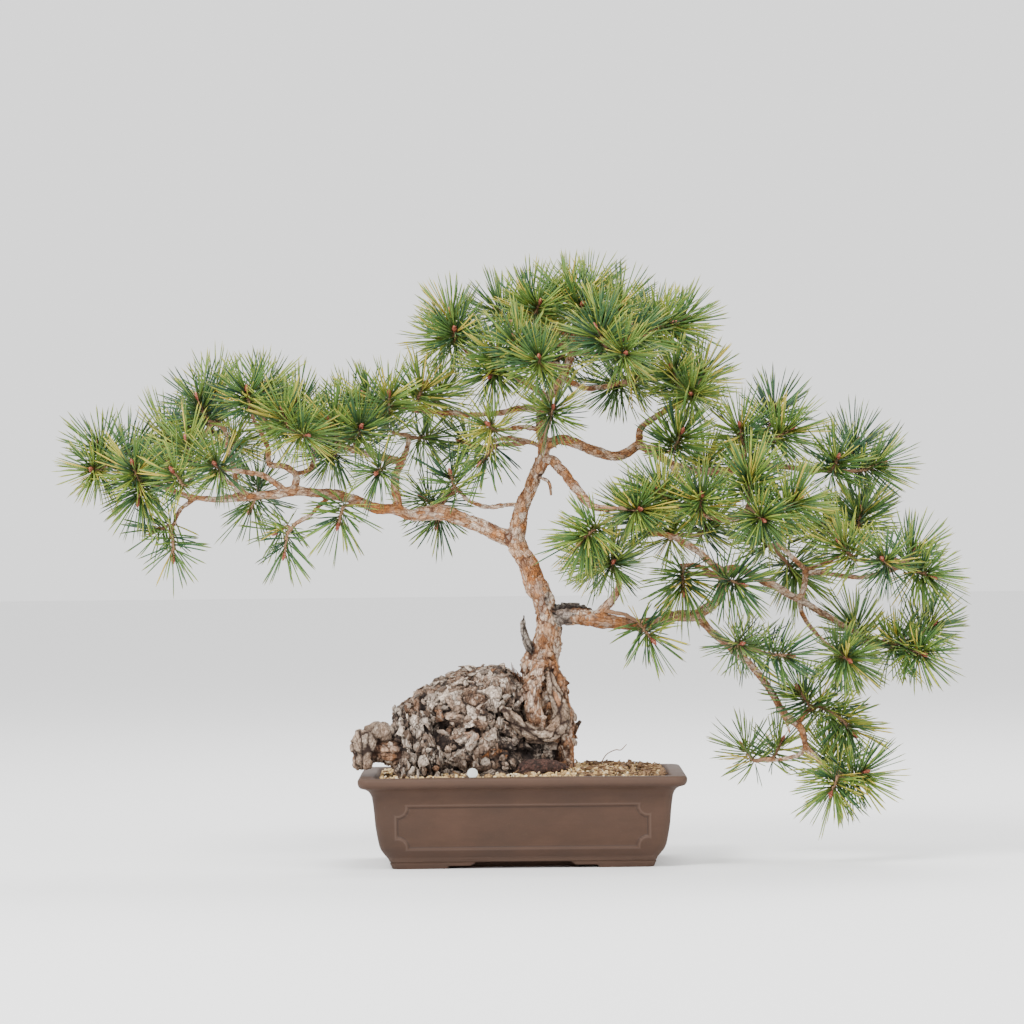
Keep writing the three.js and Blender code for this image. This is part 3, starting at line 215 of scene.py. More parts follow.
def barkFinish(name, stretch):
    # stretch: how the small scales are drawn out along the wood, less than 1 where they are long
    f = Finish(name)
    plate, age, layer, dead = (f.attribute(key) for key in ("plate", "age", "layer", "dead"))
    fine = f.noise(2.2 * mm, 5.0, 0.65)
    broad = f.noise(14 * mm, 4.0)
    patch = f.noise(30 * mm, 3.0)
    sway = f.node("TexNoise", {"Vector": f.place(), "Scale": 260.0}, output="Color")
    shift = f.node("VectorMath", {0: sway, "Scale": 0.0035}, operation="SCALE")
    bent = f.node("VectorMath", {0: f.place(), 1: shift}, operation="ADD")
    drawn = f.node("VectorMath", {0: bent, 1: stretch}, operation="MULTIPLY")
    scales = {"Vector": drawn, "Scale": 280.0}
    scaleEdge = f.node("TexVoronoi", scales, output="Distance", feature="DISTANCE_TO_EDGE")
    scaleTone = f.node("SeparateColor", {0: f.node("TexVoronoi", scales, output="Color")})
    flake = f.node("Mix", {0: age, 2: plate * 0.4 + scaleTone * 0.6, 3: plate * 0.68 + scaleTone * 0.32})
    young = f.ramp(broad * 0.3 + flake * 0.7, ramps["young"])
    old = f.ramp(broad * 0.25 + flake * 0.75, ramps["old"])
    worn = f.ramp(broad * 0.5 + fine * 0.5, ramps["worn"])
    silver = f.ramp(broad * 0.4 + fine * 0.6, ramps["silver"])
    ruddy = f.ramp(broad * 0.5 + fine * 0.5, ramps["ruddy"])
    bare = f.mix(((age - 0.85) * 7.0).clamped(), worn, silver)
    skin = f.mix(f.attribute("red"), f.mix(dead, f.mix(age, young, old), bare), ruddy)
    orange = ((patch - 0.5) * 6.0 * (1.0 - age)).clamped() * 0.8 + f.attribute("rust") * 0.75
    warm = f.mix((orange * (fine * 1.7)).clamped(), skin, (0.52, 0.2, 0.06))
    # thin leaves of bark seen edge on, at two spacings, each darkened at its foot as painted shade under the
    # leaf's edge
    lines = (layer + fine * 0.8).math("FRACT")
    hairs = (layer * 2.3 + fine * 1.7).math("FRACT")
    lined = warm
    for value, key in ((fine, "grain"), (lines, "leaves"), (hairs, "hairs")):
        lined = f.tint(lined, f.ramp(value, ramps[key]))
    # dark seams round some of the scales, and the dark value: stains, with painted shade in the stump's
    # hollows
    parted = ((f.noise(9 * mm, 3.0) - 0.36) * 5.0).clamped()
    seams = (1.0 - scaleEdge * 6.0).clamped() * (1.0 - dead * 0.6) * parted
    stainAndShade = f.mix(age, (0.12, 0.052, 0.028), (0.03, 0.02, 0.016))
    shade = f.mix((f.attribute("dark") * 0.75 + seams * 0.8).clamped(), lined, stainAndShade)
    # the crevice colour: painted shade in the creases, at the steps and under the plates' edges, with the
    # cracks' own darker colour
    creviceShade = f.mix(age, (0.11, 0.048, 0.026), (0.018, 0.012, 0.01))
    f.set(Base_Color=f.mix(f.attribute("crevice"), shade, creviceShade), Roughness=0.86, Specular_IOR_Level=0.25)
    raised = (scaleEdge * 4.0).clamped() * 0.6 + scaleTone * 0.3
    f.bump(fine * 0.5 + lines * 0.3 + hairs * 0.25 + raised, 0.85, 1.1 * mm)
    return f.material


def needleFinish():
    f = Finish("pineNeedles")
    tone = f.attribute("tone")
    along = f.attribute("along")
    body = f.ramp(tone, ramps["needles"])
    tips = f.mix((along * 4.0 - 3.05).clamped() * (tone * 0.9 + 0.15).clamped(), body, (0.5, 0.4, 0.045))
    foot = f.mix((1.0 - along * 7.0).clamped() * 0.7, tips, (0.2, 0.12, 0.055))
    f.set(Base_Color=foot, Roughness=0.5, Specular_IOR_Level=0.3)
    return f.material


def twigFinish():
    f = Finish("youngTwig")
    tone = f.attribute("tone")
    fine = f.noise(1.6 * mm, 4.0, 0.6)
    skin = f.ramp(tone * 0.5 + fine * 0.5, ramps["twig"])
    f.set(Base_Color=skin, Roughness=0.8, Specular_IOR_Level=0.25)
    f.bump(fine, 0.5, 0.5 * mm)
    return f.material


def budFinish():
    f = Finish("resinyBud")
    scales = f.noise(1.3 * mm, 3.0, 0.6)
    skin = f.ramp(scales, ramps["bud"])
    f.set(Base_Color=skin, Roughness=0.6)
    f.bump(scales, 0.5, 0.4 * mm)
    return f.material


def gritFinish():
    f = Finish("gravel")
    tone = f.attribute("tone")
    fine = f.noise(1.4 * mm, 4.0, 0.65)
    shaded = f.tint(f.ramp(tone, ramps["grit"]), f.ramp(fine, ramps["pores"]))
    f.set(Base_Color=shaded, Roughness=0.9, Specular_IOR_Level=0.25)
    f.bump(fine, 0.5, 0.5 * mm)
    return f.material


def plainFinish(name, low, high, roughness, size=6 * mm):
    f = Finish(name)
    broad = f.noise(size, 4.0)
    f.set(Base_Color=f.ramp(broad, [(0.35, low), (0.65, high)]), Roughness=roughness)
    f.bump(broad, 0.2, 0.3 * mm)
    return f.material


finishes = {
    "clay": clayFinish(), "bark": barkFinish("pineBark", (1, 1, 0.5)),
    "limbBark": barkFinish("branchBark", (0.5, 1, 1)), "needles": needleFinish(), "twig": twigFinish(),
    "bud": budFinish(), "grit": gritFinish(),
    "soil": plainFinish("dampGrit", (0.035, 0.022, 0.013), (0.15, 0.095, 0.05), 0.95, 3 * mm),
    "netting": plainFinish("plasticNet", (0.012, 0.013, 0.014), (0.02, 0.021, 0.022), 0.6),
    "tag": plainFinish("whiteTag", (0.5, 0.54, 0.5), (0.66, 0.69, 0.66), 0.45),
}
print("finishes made")


# mesh helpers
def deselectAll():
    if bpy.context.object and bpy.context.object.mode != "OBJECT":
        bpy.ops.object.mode_set(mode="OBJECT")
    bpy.ops.object.select_all(action="DESELECT")


def makeActive(piece):
    deselectAll()
    piece.select_set(True)
    bpy.context.view_layer.objects.active = piece


def startEdit():
    # edit mode with everything chosen
    bpy.ops.object.mode_set(mode="EDIT")
    bpy.ops.mesh.select_all(action="SELECT")


def endEdit():
    bpy.ops.mesh.select_all(action="DESELECT")
    bpy.ops.object.mode_set(mode="OBJECT")


def wear(piece, finish):
    piece.data.materials.clear()
    piece.data.materials.append(finishes[finish])


def moveTo(mesh, points):
    # points in millimetres
    mesh.vertices.foreach_set("co", (points * mm).astype(np.float32).ravel())


def unit(vector):
    return vector / (np.linalg.norm(vector) + 1e-12)


def unitRows(rows, tiny=1e-9):
    return rows / (np.linalg.norm(rows, axis=1)[:, None] + tiny)


def dots(rows, others):
    return np.einsum("ij,ij->i", rows, others)


def blend(value, low, high):
    return np.clip((value - low) / (high - low), 0, 1)


def meshPiece(name, points, triangles, material=None, **values):
    mesh = bpy.data.meshes.new(name)
    count = len(triangles)
    mesh.vertices.add(len(points))
    mesh.vertices.foreach_set("co", np.asarray(points, dtype=np.float32).ravel())
    mesh.loops.add(count * 3)
    mesh.loops.foreach_set("vertex_index", np.asarray(triangles, dtype=np.int32).ravel())
    mesh.polygons.add(count)
    mesh.polygons.foreach_set("loop_start", np.arange(0, count * 3, 3, dtype=np.int32))
    mesh.update(calc_edges=True)
    for key, value in values.items():
        storeValue(mesh, key, value)
    if material:
        mesh.materials.append(material)
    piece = bpy.data.objects.new(name, mesh)
    bpy.context.scene.collection.objects.link(piece)
    return piece


def storeValue(mesh, name, value):
    layer = mesh.attributes.new(name, "FLOAT", "POINT")
    layer.data.foreach_set("value", np.asarray(value, dtype=np.float32).ravel())


def readRows(items, key):
    rows = np.empty(len(items) * 3, dtype=np.float32)
    items.foreach_get(key, rows)
    return rows.reshape(-1, 3)


def pointsOf(mesh):
    return readRows(mesh.vertices, "co")


def normalsOf(mesh):
    return readRows(mesh.vertex_normals, "vector")


def icoBall(subdivisions):
    deselectAll()
    bpy.ops.mesh.primitive_ico_sphere_add(subdivisions=subdivisions, radius=1)
    ball = bpy.context.object
    points = pointsOf(ball.data).astype(float)
    triangles = np.empty(len(ball.data.polygons) * 3, dtype=np.int32)
    ball.data.polygons.foreach_get("vertices", triangles)
    bpy.data.objects.remove(ball)
    return points, triangles.reshape(-1, 3)


class Heap:
    def __init__(self):
        self.points, self.triangles, self.values, self.count = [], [], [], 0

    def add(self, points, triangles, *values):
        self.points.append(np.asarray(points, dtype=np.float32))
        self.triangles.append(np.asarray(triangles, dtype=np.int32) + self.count)
        self.values.append([np.broadcast_to(np.asarray(v, dtype=np.float32), len(points)) for v in values])
        self.count += len(points)

    def piece(self, name, material, *keys):
        columns = [np.concatenate(column) for column in zip(*self.values)]
        return meshPiece(name, np.concatenate(self.points), np.concatenate(self.triangles), material,
                         **dict(zip(keys, columns)))


def smoothRoute(route, step=2.5):
    # Catmull-Rom through [x, y, z, radius], with a point about every step
    points = np.asarray(route, dtype=float)
    padded = np.vstack([2 * points[0] - points[1], points, 2 * points[-1] - points[-2]])
    result = []
    for i in range(1, len(padded) - 2):
        p0, p1, p2, p3 = padded[i - 1:i + 3]
        pieces = max(1, int(np.linalg.norm((p2 - p1)[:3]) / step))
        for t in np.arange(pieces) / pieces:
            result.append(0.5 * (2 * p1 + (p2 - p0) * t + (2 * p0 - 5 * p1 + 4 * p2 - p3) * t * t
                                 + (3 * p1 - 3 * p2 + p3 - p0) * t ** 3))
    result.append(points[-1])
    return np.array(result)


def tube(route, sides, pinch=0.0):
    centres = route[:, :3]
    ahead = unitRows(np.gradient(centres, axis=0))
    normal = np.array([0.31, 0.92, 0.22])
    ring = np.arange(sides) * 2 * math.pi / sides
    points = []
    for k, (centre, way) in enumerate(zip(centres, ahead)):
        normal = normal - way * normal.dot(way)
        normal /= np.linalg.norm(normal)
        side = np.cross(way, normal)
        radius = route[k, 3] * (1 + pinch * np.sin(3 * ring + k * 0.45))
        circle = np.cos(ring)[:, None] * normal + np.sin(ring)[:, None] * side
        points.append(centre + radius[:, None] * circle)
    points = np.vstack([*points, centres[0], centres[-1]])
    last, triangles = len(centres) - 1, []
    column = np.arange(sides)
    after = (column + 1) % sides
    for k in range(last):
        a, b = k * sides + column, k * sides + after
        triangles += [np.stack([a, b, b + sides], 1), np.stack([a, b + sides, a + sides], 1)]
    low, high = len(points) - 2, len(points) - 1
    triangles.append(np.stack([after, column, np.full(sides, low)], 1))
    triangles.append(np.stack([last * sides + column, last * sides + after, np.full(sides, high)], 1))
    return points, np.concatenate(triangles)


# the pot: its levels are [height, how far in from the lip's edge]
pot = {
    "length": 284, "width": 190, "corner": 7.5, "cornerSegments": 8, "footHeight": 5.6,
    "underside": (44.5, 45.5), "cuts": ((180, 110), (80, 70)), "evenStep": 1.3, "evenLevels": (14, 64),
    "drain": (58, 12, 40), "wall": (13, 64), "wallDepth": 23, "panelDepth": 1.1, "feet": ((49, 65), (96, 38)),
    "footSteps": ((1.0, 0.05, 0.48), (0.665, 0.07, 0.52)), "wobble": 0.35, "bow": 0.25,
    "outer": [
        (0, 28.6), (2.6, 27.6), (4.9, 26.6), (5.3, 27.2), (5.9, 27.2), (6.4, 26.3), (9, 25.1), (9.9, 24.4),
        (10.6, 23.7), (12, 22.6), (14.5, 20.7), (17, 19.1), (20, 17.9), (24, 17), (31, 15.7), (38, 14.6),
        (45, 14), (52, 13.4), (58, 12.7), (63, 11.9), (66, 10.8), (68.6, 9), (70.2, 6.4), (71, 3.6),
        (71.7, 2), (73, 0.9), (75, 0.15), (77.5, 0), (79, 0.5), (79.7, 1.4), (80, 2.6),
    ],
    "inner": [
        (80, 12), (79.6, 13), (78.6, 13.9), (70, 17.6), (60, 20.5), (52, 22.4), (38, 24), (24, 26),
        (16.5, 33), (15, 36),
    ],
}


def halfSizes(inset):
    return pot["length"] / 2 - inset, pot["width"] / 2 - inset


def drawUp(rise, height, inset, nextInset):
    # one more ring of the outline, raised to a height and brought in or out
    x0, y0 = halfSizes(inset)
    x1, y1 = halfSizes(nextInset)
    bpy.ops.mesh.extrude_region_move(TRANSFORM_OT_translate={"value": (0, 0, rise * mm)})
    bpy.ops.transform.resize(value=(x1 / x0, y1 / y0, 1), center_override=(0, 0, height * mm))


def buildPot():
    deselectAll()
    level, inset = pot["outer"][0]
    startX, startY = halfSizes(inset)
    bpy.ops.mesh.primitive_plane_add(size=2, location=(0, 0, 0))
    shell = bpy.context.object
    shell.name = "potShell"
    bpy.ops.transform.resize(value=(startX * mm, startY * mm, 1))
    bpy.ops.object.transform_apply(location=False, rotation=False, scale=True)
    startEdit()
    bpy.ops.mesh.bevel(offset=pot["corner"] * mm, segments=pot["cornerSegments"], affect="VERTICES")
    bpy.ops.mesh.select_all(action="SELECT")
    bpy.ops.mesh.flip_normals()
    # the outline is drawn up level by level, over the lip and down inside
    profile = []
    lowest, highest = pot["evenLevels"]
    for (z0, i0), (z1, i1) in zip(pot["outer"], pot["outer"][1:]):
        pieces = max(1, int((z1 - z0) / pot["evenStep"])) if z0 >= lowest and z1 <= highest else 1
        profile += [(z0 + (z1 - z0) * k / pieces, i0 + (i1 - i0) * k / pieces) for k in range(1, pieces + 1)]
    for z, nextInset in profile + pot["inner"]:
        drawUp(z - level, z, inset, nextInset)
        level, inset = z, nextInset
    endEdit()
    # underside: close the foot, then sink its middle
    bpy.ops.object.mode_set(mode="EDIT")
    bpy.ops.mesh.select_mode(type="EDGE")
    bpy.ops.mesh.select_non_manifold()
    bpy.ops.mesh.edge_face_add()
    bpy.ops.mesh.select_mode(type="FACE")
    brim, well = pot["underside"]
    drawUp(0, 0, pot["outer"][0][1], brim)
    drawUp(pot["footHeight"], pot["footHeight"], brim, well)
    endEdit()
    # the long level edges are cut up, so that the panels can be sunk
    for limit, cuts in pot["cuts"]:
        mesh = shell.data
        for edge in mesh.edges:
            a, b = (mesh.vertices[k].co for k in edge.vertices)
            edge.select = (a - b).length > limit * mm and abs(a.z - b.z) < 0.01 * mm
        bpy.ops.object.mode_set(mode="EDIT")
        bpy.ops.mesh.select_mode(type="EDGE")
        bpy.ops.mesh.subdivide(number_cuts=cuts)
        endEdit()
    startEdit()
    bpy.ops.mesh.normals_make_consistent(inside=False)
    bpy.ops.object.mode_set(mode="OBJECT")
    shapePot(shell)
    drillPot(shell)
    bpy.ops.object.shade_smooth_by_angle(angle=math.radians(38))
    return shell


def easedStep(value, width):
    t = np.clip(value / width + 0.5, 0, 1)
    return t * t * (3 - 2 * t)


def panelMask(across, z, halfLength):
    # distance inside a rectangle whose corners are scooped out
    u, v = halfLength - np.abs(across), panel["half"] - np.abs(z - panel["middle"])
    return easedStep(np.minimum(np.minimum(u, v), np.hypot(u, v) - panel["scoop"]), panel["slope"])


def footGap(across, halfLength):
    # a bracket between two feet, in two steps of [half width, slope, share of the height]
    reach = np.abs(across) / halfLength
    steps = [easedStep(half - reach, slope) * share for half, slope, share in pot["footSteps"]]
    return sum(steps) * pot["footHeight"]


def shapePot(shell):
    points = pointsOf(shell.data) / mm
    normals = normalsOf(shell.data)
    x, y, z = points.T
    halfX, halfY = halfSizes(pot["wallDepth"])
    low, high = pot["wall"]
    outside = (z > low) & (z < high) & ((np.abs(x) > halfX) | (np.abs(y) > halfY))
    ring = np.zeros(len(points))
    for axis, across, half in ((1, x, panel["long"]), (0, y, panel["short"])):
        way = np.sign(points[:, axis])
        wall = outside & (np.abs(normals[:, axis]) > 0.7) & (np.sign(normals[:, axis]) == way)
        recess = np.where(wall, panelMask(across, z, half), 0)
        # a band along the panel's sloping border, kept in the edge value so that the clay finish paints it
        # lighter as a painted highlight
        ring += recess * (1 - recess) * 4
        points[:, axis] -= way * recess * pot["panelDepth"]
    # the gaps between the feet
    lift = np.zeros(len(points))
    for (edge, half), beside, along in zip(pot["feet"], (y, x), (x, y)):
        lift = np.maximum(lift, np.where(np.abs(beside) > edge, footGap(along, half), 0))
    points[:, 2] = np.where(z < pot["footHeight"], np.maximum(z, lift), z)
    # hand-made unevenness
    sway = np.sin(x * 0.021 + 1.3) * np.cos(y * 0.03) + 0.5 * np.sin(x * 0.06 + y * 0.05)
    points[:, 2] -= easedStep(z - 66, 12) * pot["wobble"] * (1 + sway) * 0.5
    points[:, 1] -= np.sign(y) * pot["bow"] * (1 + np.sin(x * 0.035 + z * 0.05)) * (z > 8)
    worn = (z > 74) | ((z > 4) & (z < 10.5))
    moveTo(shell.data, points)
    storeValue(shell.data, "edge", np.clip(ring + np.where(worn, 0.6, 0), 0, 1))
    shell.data.update()


def drillPot(shell):
    across, radius, depth = pot["drain"]
    for sign in (-1, 1):
        deselectAll()
        bpy.ops.mesh.primitive_cylinder_add(vertices=40, radius=radius * mm, depth=depth * mm,
                                            location=(sign * across * mm, 0, 12 * mm))
        drill = bpy.context.object
        makeActive(shell)
        cut = shell.modifiers.new("drain", "BOOLEAN")
        cut.operation, cut.object, cut.solver = "DIFFERENCE", drill, "EXACT"
        bpy.ops.object.modifier_apply(modifier=cut.name)
        bpy.data.objects.remove(drill)
    makeActive(shell)


potShell = buildPot()
wear(potShell, "clay")
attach(potShell, "root")
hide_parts("pot")
print("pot made", len(potShell.data.polygons))


# the wood: routes of [x, y, z, radius] in millimetres, outwards from where each limb leaves its parent
limbs = {
    "trunk": [
        [22, 6, 50, 25], [23, 5, 86, 22.5], [24, 4, 108, 22.5], [22, 3, 130, 22], [19, 2, 149, 20.5],
        [18, 2, 165, 18], [19, 2, 178, 15.5], [22, 1, 191, 12.5], [25, 0, 204, 10.5], [25, 0, 216, 10.5],
        [20, -1, 231, 9.6], [14, -2, 244, 9.8], [9, -2, 257, 9], [2, -1, 271, 8.4], [-3, 0, 283, 8.4],
        [-2, 1, 295, 7.6], [2, 0, 309, 6.8], [8, -2, 325, 6], [14, -4, 339, 6], [20, -5, 352, 5.8],
        [22, -5, 367, 5], [20, -4, 381, 4.6], [20, -2, 394, 4.5], [26, -1, 407, 4.2], [36, -2, 420, 4],
        [43, -4, 434, 3.7], [48, -6, 451, 3.3], [51, -7, 464, 2.9], [53, -8, 476, 2.5], [54, -8, 486, 2],
    ],
    "leftMain": [
        [-3, 0, 283, 7.5], [-17, -1, 288, 7], [-30, -2, 294, 6.4], [-45, -3, 300, 6.4], [-58, -4, 305, 6.6],
        [-70, -5, 309, 7], [-83, -6, 307, 6.5], [-95, -7, 306, 5.3], [-107, -8, 311, 4.7],
        [-124, -9, 312, 4.6], [-139, -10, 318, 4.7], [-154, -11, 323, 4.6], [-171, -12, 326, 4.4],
        [-196, -13, 328, 4.4], [-213, -14, 326, 4], [-234, -16, 324, 3.7], [-256, -18, 322, 3.2],
        [-281, -20, 323, 2.7], [-299, -21, 328, 2.5], [-316, -22, 334, 2.3], [-334, -22, 340, 2.2],
        [-352, -20, 349, 2],
    ],
    "leftFront": [[-237, -16, 324, 2.7], [-246, -24, 332, 2.5], [-258, -34, 340, 2.3], [-272, -44, 349, 2]],
    "leftRise": [[-247, -17, 323, 2.6], [-249, -12, 343, 2.4], [-254, -6, 361, 2.2], [-258, 2, 381, 2]],
    "leftCross": [[-203, -13, 327, 2.9], [-220, -22, 340, 2.6], [-235, -32, 345, 2.3], [-251, -40, 347, 2]],
    "leftFork": [
        [-197, -13, 328, 3.5], [-196, -8, 343, 3.3], [-207, -2, 350, 3], [-220, 4, 353, 2.7],
        [-221, 8, 366, 2.4], [-226, 10, 378, 2.2], [-234, 8, 392, 2],
    ],
    "leftInner": [[-196, -8, 343, 2.4], [-182, 6, 350, 2.3], [-182, 16, 367, 2.1], [-186, 20, 382, 2]],
    "leftHang": [[-284, -20, 323, 2.2], [-297, -26, 312, 2], [-302, -31, 300, 1.9]],
    "leftDrop": [[-164, -12, 325, 2.3], [-182, -14, 309, 2.1], [-197, -16, 299, 2]],
    "leftRiser": [[-105, -8, 310, 4], [-109, -9, 328, 3.8], [-108, -10, 341, 3.6], [-103, -10, 353, 3.5]],
    "leftUpper": [
        [-103, -10, 353, 3.4], [-118, -13, 357, 3.2], [-137, -16, 361, 3], [-151, -18, 367, 2.8],
        [-171, -19, 373, 2.4], [-190, -20, 380, 2.1],
    ],
    "leftBack": [[-103, -10, 353, 2.9], [-99, 2, 362, 2.7], [-97, 16, 374, 2.2]],
    "leftHigh": [
        [20, -2, 398, 3.2], [4, 0, 399, 3], [-13, 3, 396, 2.8], [-38, 6, 394, 2.6], [-63, 8, 396, 2.4],
        [-87, 10, 398, 2.2], [-104, 10, 402, 2],
    ],
    "leftNear": [[20, -4, 381, 2.7], [2, -14, 382, 2.4], [-14, -32, 380, 2.1]],
    "leftShade": [[22, -5, 365, 2.5], [4, 8, 371, 2.4], [-10, 20, 373, 2.2], [-28, 28, 371, 2]],
    "leftMid": [
        [4, -1, 314, 2.3], [-13, 2, 314, 2.2], [-30, 5, 313, 2.1], [-44, 7, 318, 2], [-52, 6, 326, 2],
    ],
    "crownLeft": [[26, -1, 407, 3.2], [14, -5, 417, 3], [0, -11, 424, 2.7], [-14, -20, 430, 2.4]],
    "crownFarLeft": [[-8, -15, 428, 2.5], [-24, -12, 437, 2.4], [-40, -8, 446, 2.2], [-50, -7, 454, 2]],
    "crownFront": [[42, -4, 432, 2.9], [34, -22, 436, 2.7], [26, -44, 436, 2.4], [21, -62, 434, 2.1]],
    "crownLow": [[40, -3, 425, 2.8], [58, 10, 417, 2.6], [76, 24, 418, 2.3], [92, 32, 422, 2]],
    "crownRight": [[47, -6, 446, 2.7], [61, -22, 446, 2.5], [75, -40, 444, 2.3], [84, -54, 442, 2]],
    "crownFarRight": [[49, -6, 455, 2.8], [64, -4, 463, 2.6], [84, -2, 469, 2.4], [106, 0, 472, 2.1]],
    "crownBack": [[46, -5, 444, 2.9], [46, 18, 450, 2.7], [44, 42, 456, 2.4], [42, 62, 458, 2.1]],
    "crownTop": [[50, -7, 460, 2.4], [38, 2, 467, 2.3], [24, 10, 474, 2.1], [8, 14, 479, 2]],
    "rightHigh": [
        [22, -5, 365, 4.9], [38, -6, 371, 4.6], [54, -7, 366, 4.5], [69, -8, 360, 4.6], [82, -8, 356, 4.5],
        [95, -7, 359, 4.4], [105, -6, 366, 4.1],
    ],
    "rightRise": [
        [105, -6, 366, 3.4], [108, -4, 380, 3.2], [118, -2, 389, 3], [138, 2, 400, 2.6], [150, 6, 410, 2.1],
    ],
    "rightSpine": [
        [105, -6, 366, 3.9], [120, -5, 358, 3.7], [134, -2, 349, 3.5], [160, 3, 342, 3.2], [190, 5, 343, 2.9],
        [216, 5, 347, 2.6], [247, 4, 343, 2.3], [274, 2, 341, 2],
    ],
    "rightPeak": [[186, 5, 343, 2.4], [199, 6, 357, 2.2], [210, 6, 372, 2]],
    "rightShelf": [
        [134, -2, 349, 2.9], [144, -22, 330, 2.7], [156, -42, 308, 2.6], [174, -54, 300, 2.4],
        [190, -60, 301, 2.2],
    ],
    "rightFront": [
        [20, -5, 352, 5], [30, -12, 353, 4.8], [38, -20, 343, 4.5], [50, -32, 328, 4.2], [61, -42, 314, 3.7],
        [75, -50, 310, 2.8], [88, -56, 310, 2.2],
    ],
    "rightMain": [
        [25, 0, 215, 9], [38, -1, 217, 8.6], [50, -2, 216, 8], [62, -3, 214, 7], [77, -4, 211, 6.7],
        [93, -5, 209, 5.6], [107, -5, 207, 5.6], [124, -4, 212, 5.3], [141, -3, 215, 5.2],
        [154, -2, 216, 4.9], [165, 0, 221, 4.8], [174, 2, 229, 4.6], [178, 4, 241, 4.5], [181, 5, 253, 4.4],
        [190, 5, 256, 4], [207, 4, 249, 3.6], [228, 3, 238, 3.4], [246, 2, 228, 3.2], [263, 1, 218, 2.9],
        [282, -1, 206, 2.6], [301, -4, 195, 2.3], [318, -7, 189, 2],
    ],
    "rightInner": [
        [66, -3, 215, 4.3], [80, -8, 229, 4], [86, -14, 242, 3.2], [84, -22, 254, 2.5], [78, -32, 260, 2.1],
    ],
    "rightBehind": [
        [180, 5, 252, 3.6], [166, 14, 264, 3.3], [150, 24, 277, 3], [134, 32, 285, 2.6], [118, 38, 288, 2.1],
    ],
    "rightBelow": [[176, 2, 248, 2.4], [159, -8, 258, 2.2], [140, -18, 260, 2]],
    "rightTurn": [
        [246, 2, 228, 2.8], [250, 4, 240, 2.6], [251, 6, 254, 2.5], [242, 12, 264, 2.3], [232, 18, 274, 2],
    ],
    "rightOuter": [[251, 6, 254, 2.4], [268, 10, 260, 2.3], [284, 12, 268, 2.1], [294, 12, 282, 2]],
    "rightEdge": [
        [251, 6, 252, 2.5], [271, -8, 251, 2.4], [289, -20, 248, 2.3], [307, -30, 249, 2.2],
        [326, -32, 254, 2],
    ],
    "rightDown": [[246, 2, 226, 2.3], [249, -8, 212, 2.2], [258, -20, 200, 2.1], [266, -30, 190, 2]],
    "cascade": [
        [154, -2, 216, 4], [164, -4, 205, 3.7], [175, -6, 195, 3.6], [190, -8, 182, 3.4],
        [203, -10, 170, 3.3], [214, -12, 156, 3.3], [223, -13, 141, 3.4], [230, -14, 129, 3.7],
        [242, -15, 119, 3.4], [247, -16, 109, 3.1], [250, -17, 99, 3], [259, -18, 88, 2.6],
        [268, -20, 79, 2.3], [277, -22, 72, 2],
    ],
    "cascadeOut": [[242, -15, 119, 2.3], [249, -12, 129, 2.2], [260, -10, 135, 2.1], [268, -8, 131, 2]],
    "cascadeIn": [[250, -17, 101, 2.2], [243, -8, 92, 2.1], [230, 2, 88, 2], [216, 10, 87, 2]],
}
roots = {
    "innerFold": [
        [19, -14, 174, 6], [11, -22, 158, 7.5], [9, -27, 142, 7.5], [13, -29, 126, 7.5], [18, -27, 112, 6],
    ],
    "hookRoot": [
        [24, -18, 168, 4], [29, -25, 150, 6.2], [33, -28, 136, 7.2], [34, -30, 124, 7.2], [27, -33, 115, 7.2],
        [15, -37, 113, 7.2], [2, -42, 119, 6.6], [-9, -47, 129, 5], [-18, -49, 138, 3],
    ],
    "outerFold": [
        [27, -12, 176, 4], [35, -13, 150, 5], [40, -12, 126, 6], [38, -14, 96, 8], [34, -16, 68, 9],
    ],
    "redRoot": [[-12, -40, 76, 7], [8, -45, 84, 9], [28, -42, 83, 8.5], [38, -30, 76, 7]],
    "neck": [[-78, -22, 92, 24], [-98, -30, 96, 17], [-114, -38, 100, 11], [-126, -42, 102, 10]],
    "slabOuter": [[-98, -42, 72, 9], [-100, -42, 94, 9.5], [-104, -38, 116, 8], [-108, -34, 139, 4]],
    "slabInner": [[-78, -50, 72, 8], [-80, -51, 94, 9], [-86, -44, 116, 8], [-90, -36, 134, 5]],
    "deadSpur": [[14, -4, 178, 5], [6, -8, 192, 4.2], [3, -9, 206, 2.8], [3, -9, 218, 1.4]],
    "flakeRight": [[36, -2, 106, 6], [44, -3, 114, 4.5], [52, -4, 124, 1.6]],
    "collarFlake": [[28, -1, 219, 7], [38, -2, 225, 3.6], [52, -3, 224, 2.6], [64, -3, 221, 1.6]],
    "deadTwig": [[14, -5, 340, 2], [26, -12, 334, 1.7], [28, -14, 322, 1.3]],
    "cascadeStub": [[231, -14, 126, 1.8], [235, -16, 112, 1.3]],
}
burls = {
    "knobHigh": [[-125, -40, 117], [14, 12, 10]], "knobMain": [[-136, -44, 106], [13, 13, 16]],
    "knobLow": [[-138, -46, 93], [9, 9, 8]], "front": [[-80, -50, 86], [8, 10, 9]],
    "middle": [[-25, -46, 96], [11, 9, 9]], "high": [[-30, -40, 128], [9, 9, 7]],
}
goldenTurn = 2.39996
stump = {
    "centre": (-35, -2, 106), "half": (73, 49, 63), "plates": 26, "crack": 7, "detail": 7, "stream": 7,
    "scatter": 0.9, "bulge": 2.5, "shoulder": 11, "lobeReach": (76, 50, 66),
}
bark = {
    "voxelStump": 1.06, "voxelTrunk": 0.9, "voxelLimb": 1.0, "footOfTree": 66, "lowTrunkTop": 217,
    "highTrunkFoot": 190, "crease": 2.4, "laminate": 2.7, "mostPlates": 24000, "rivals": 9,
}
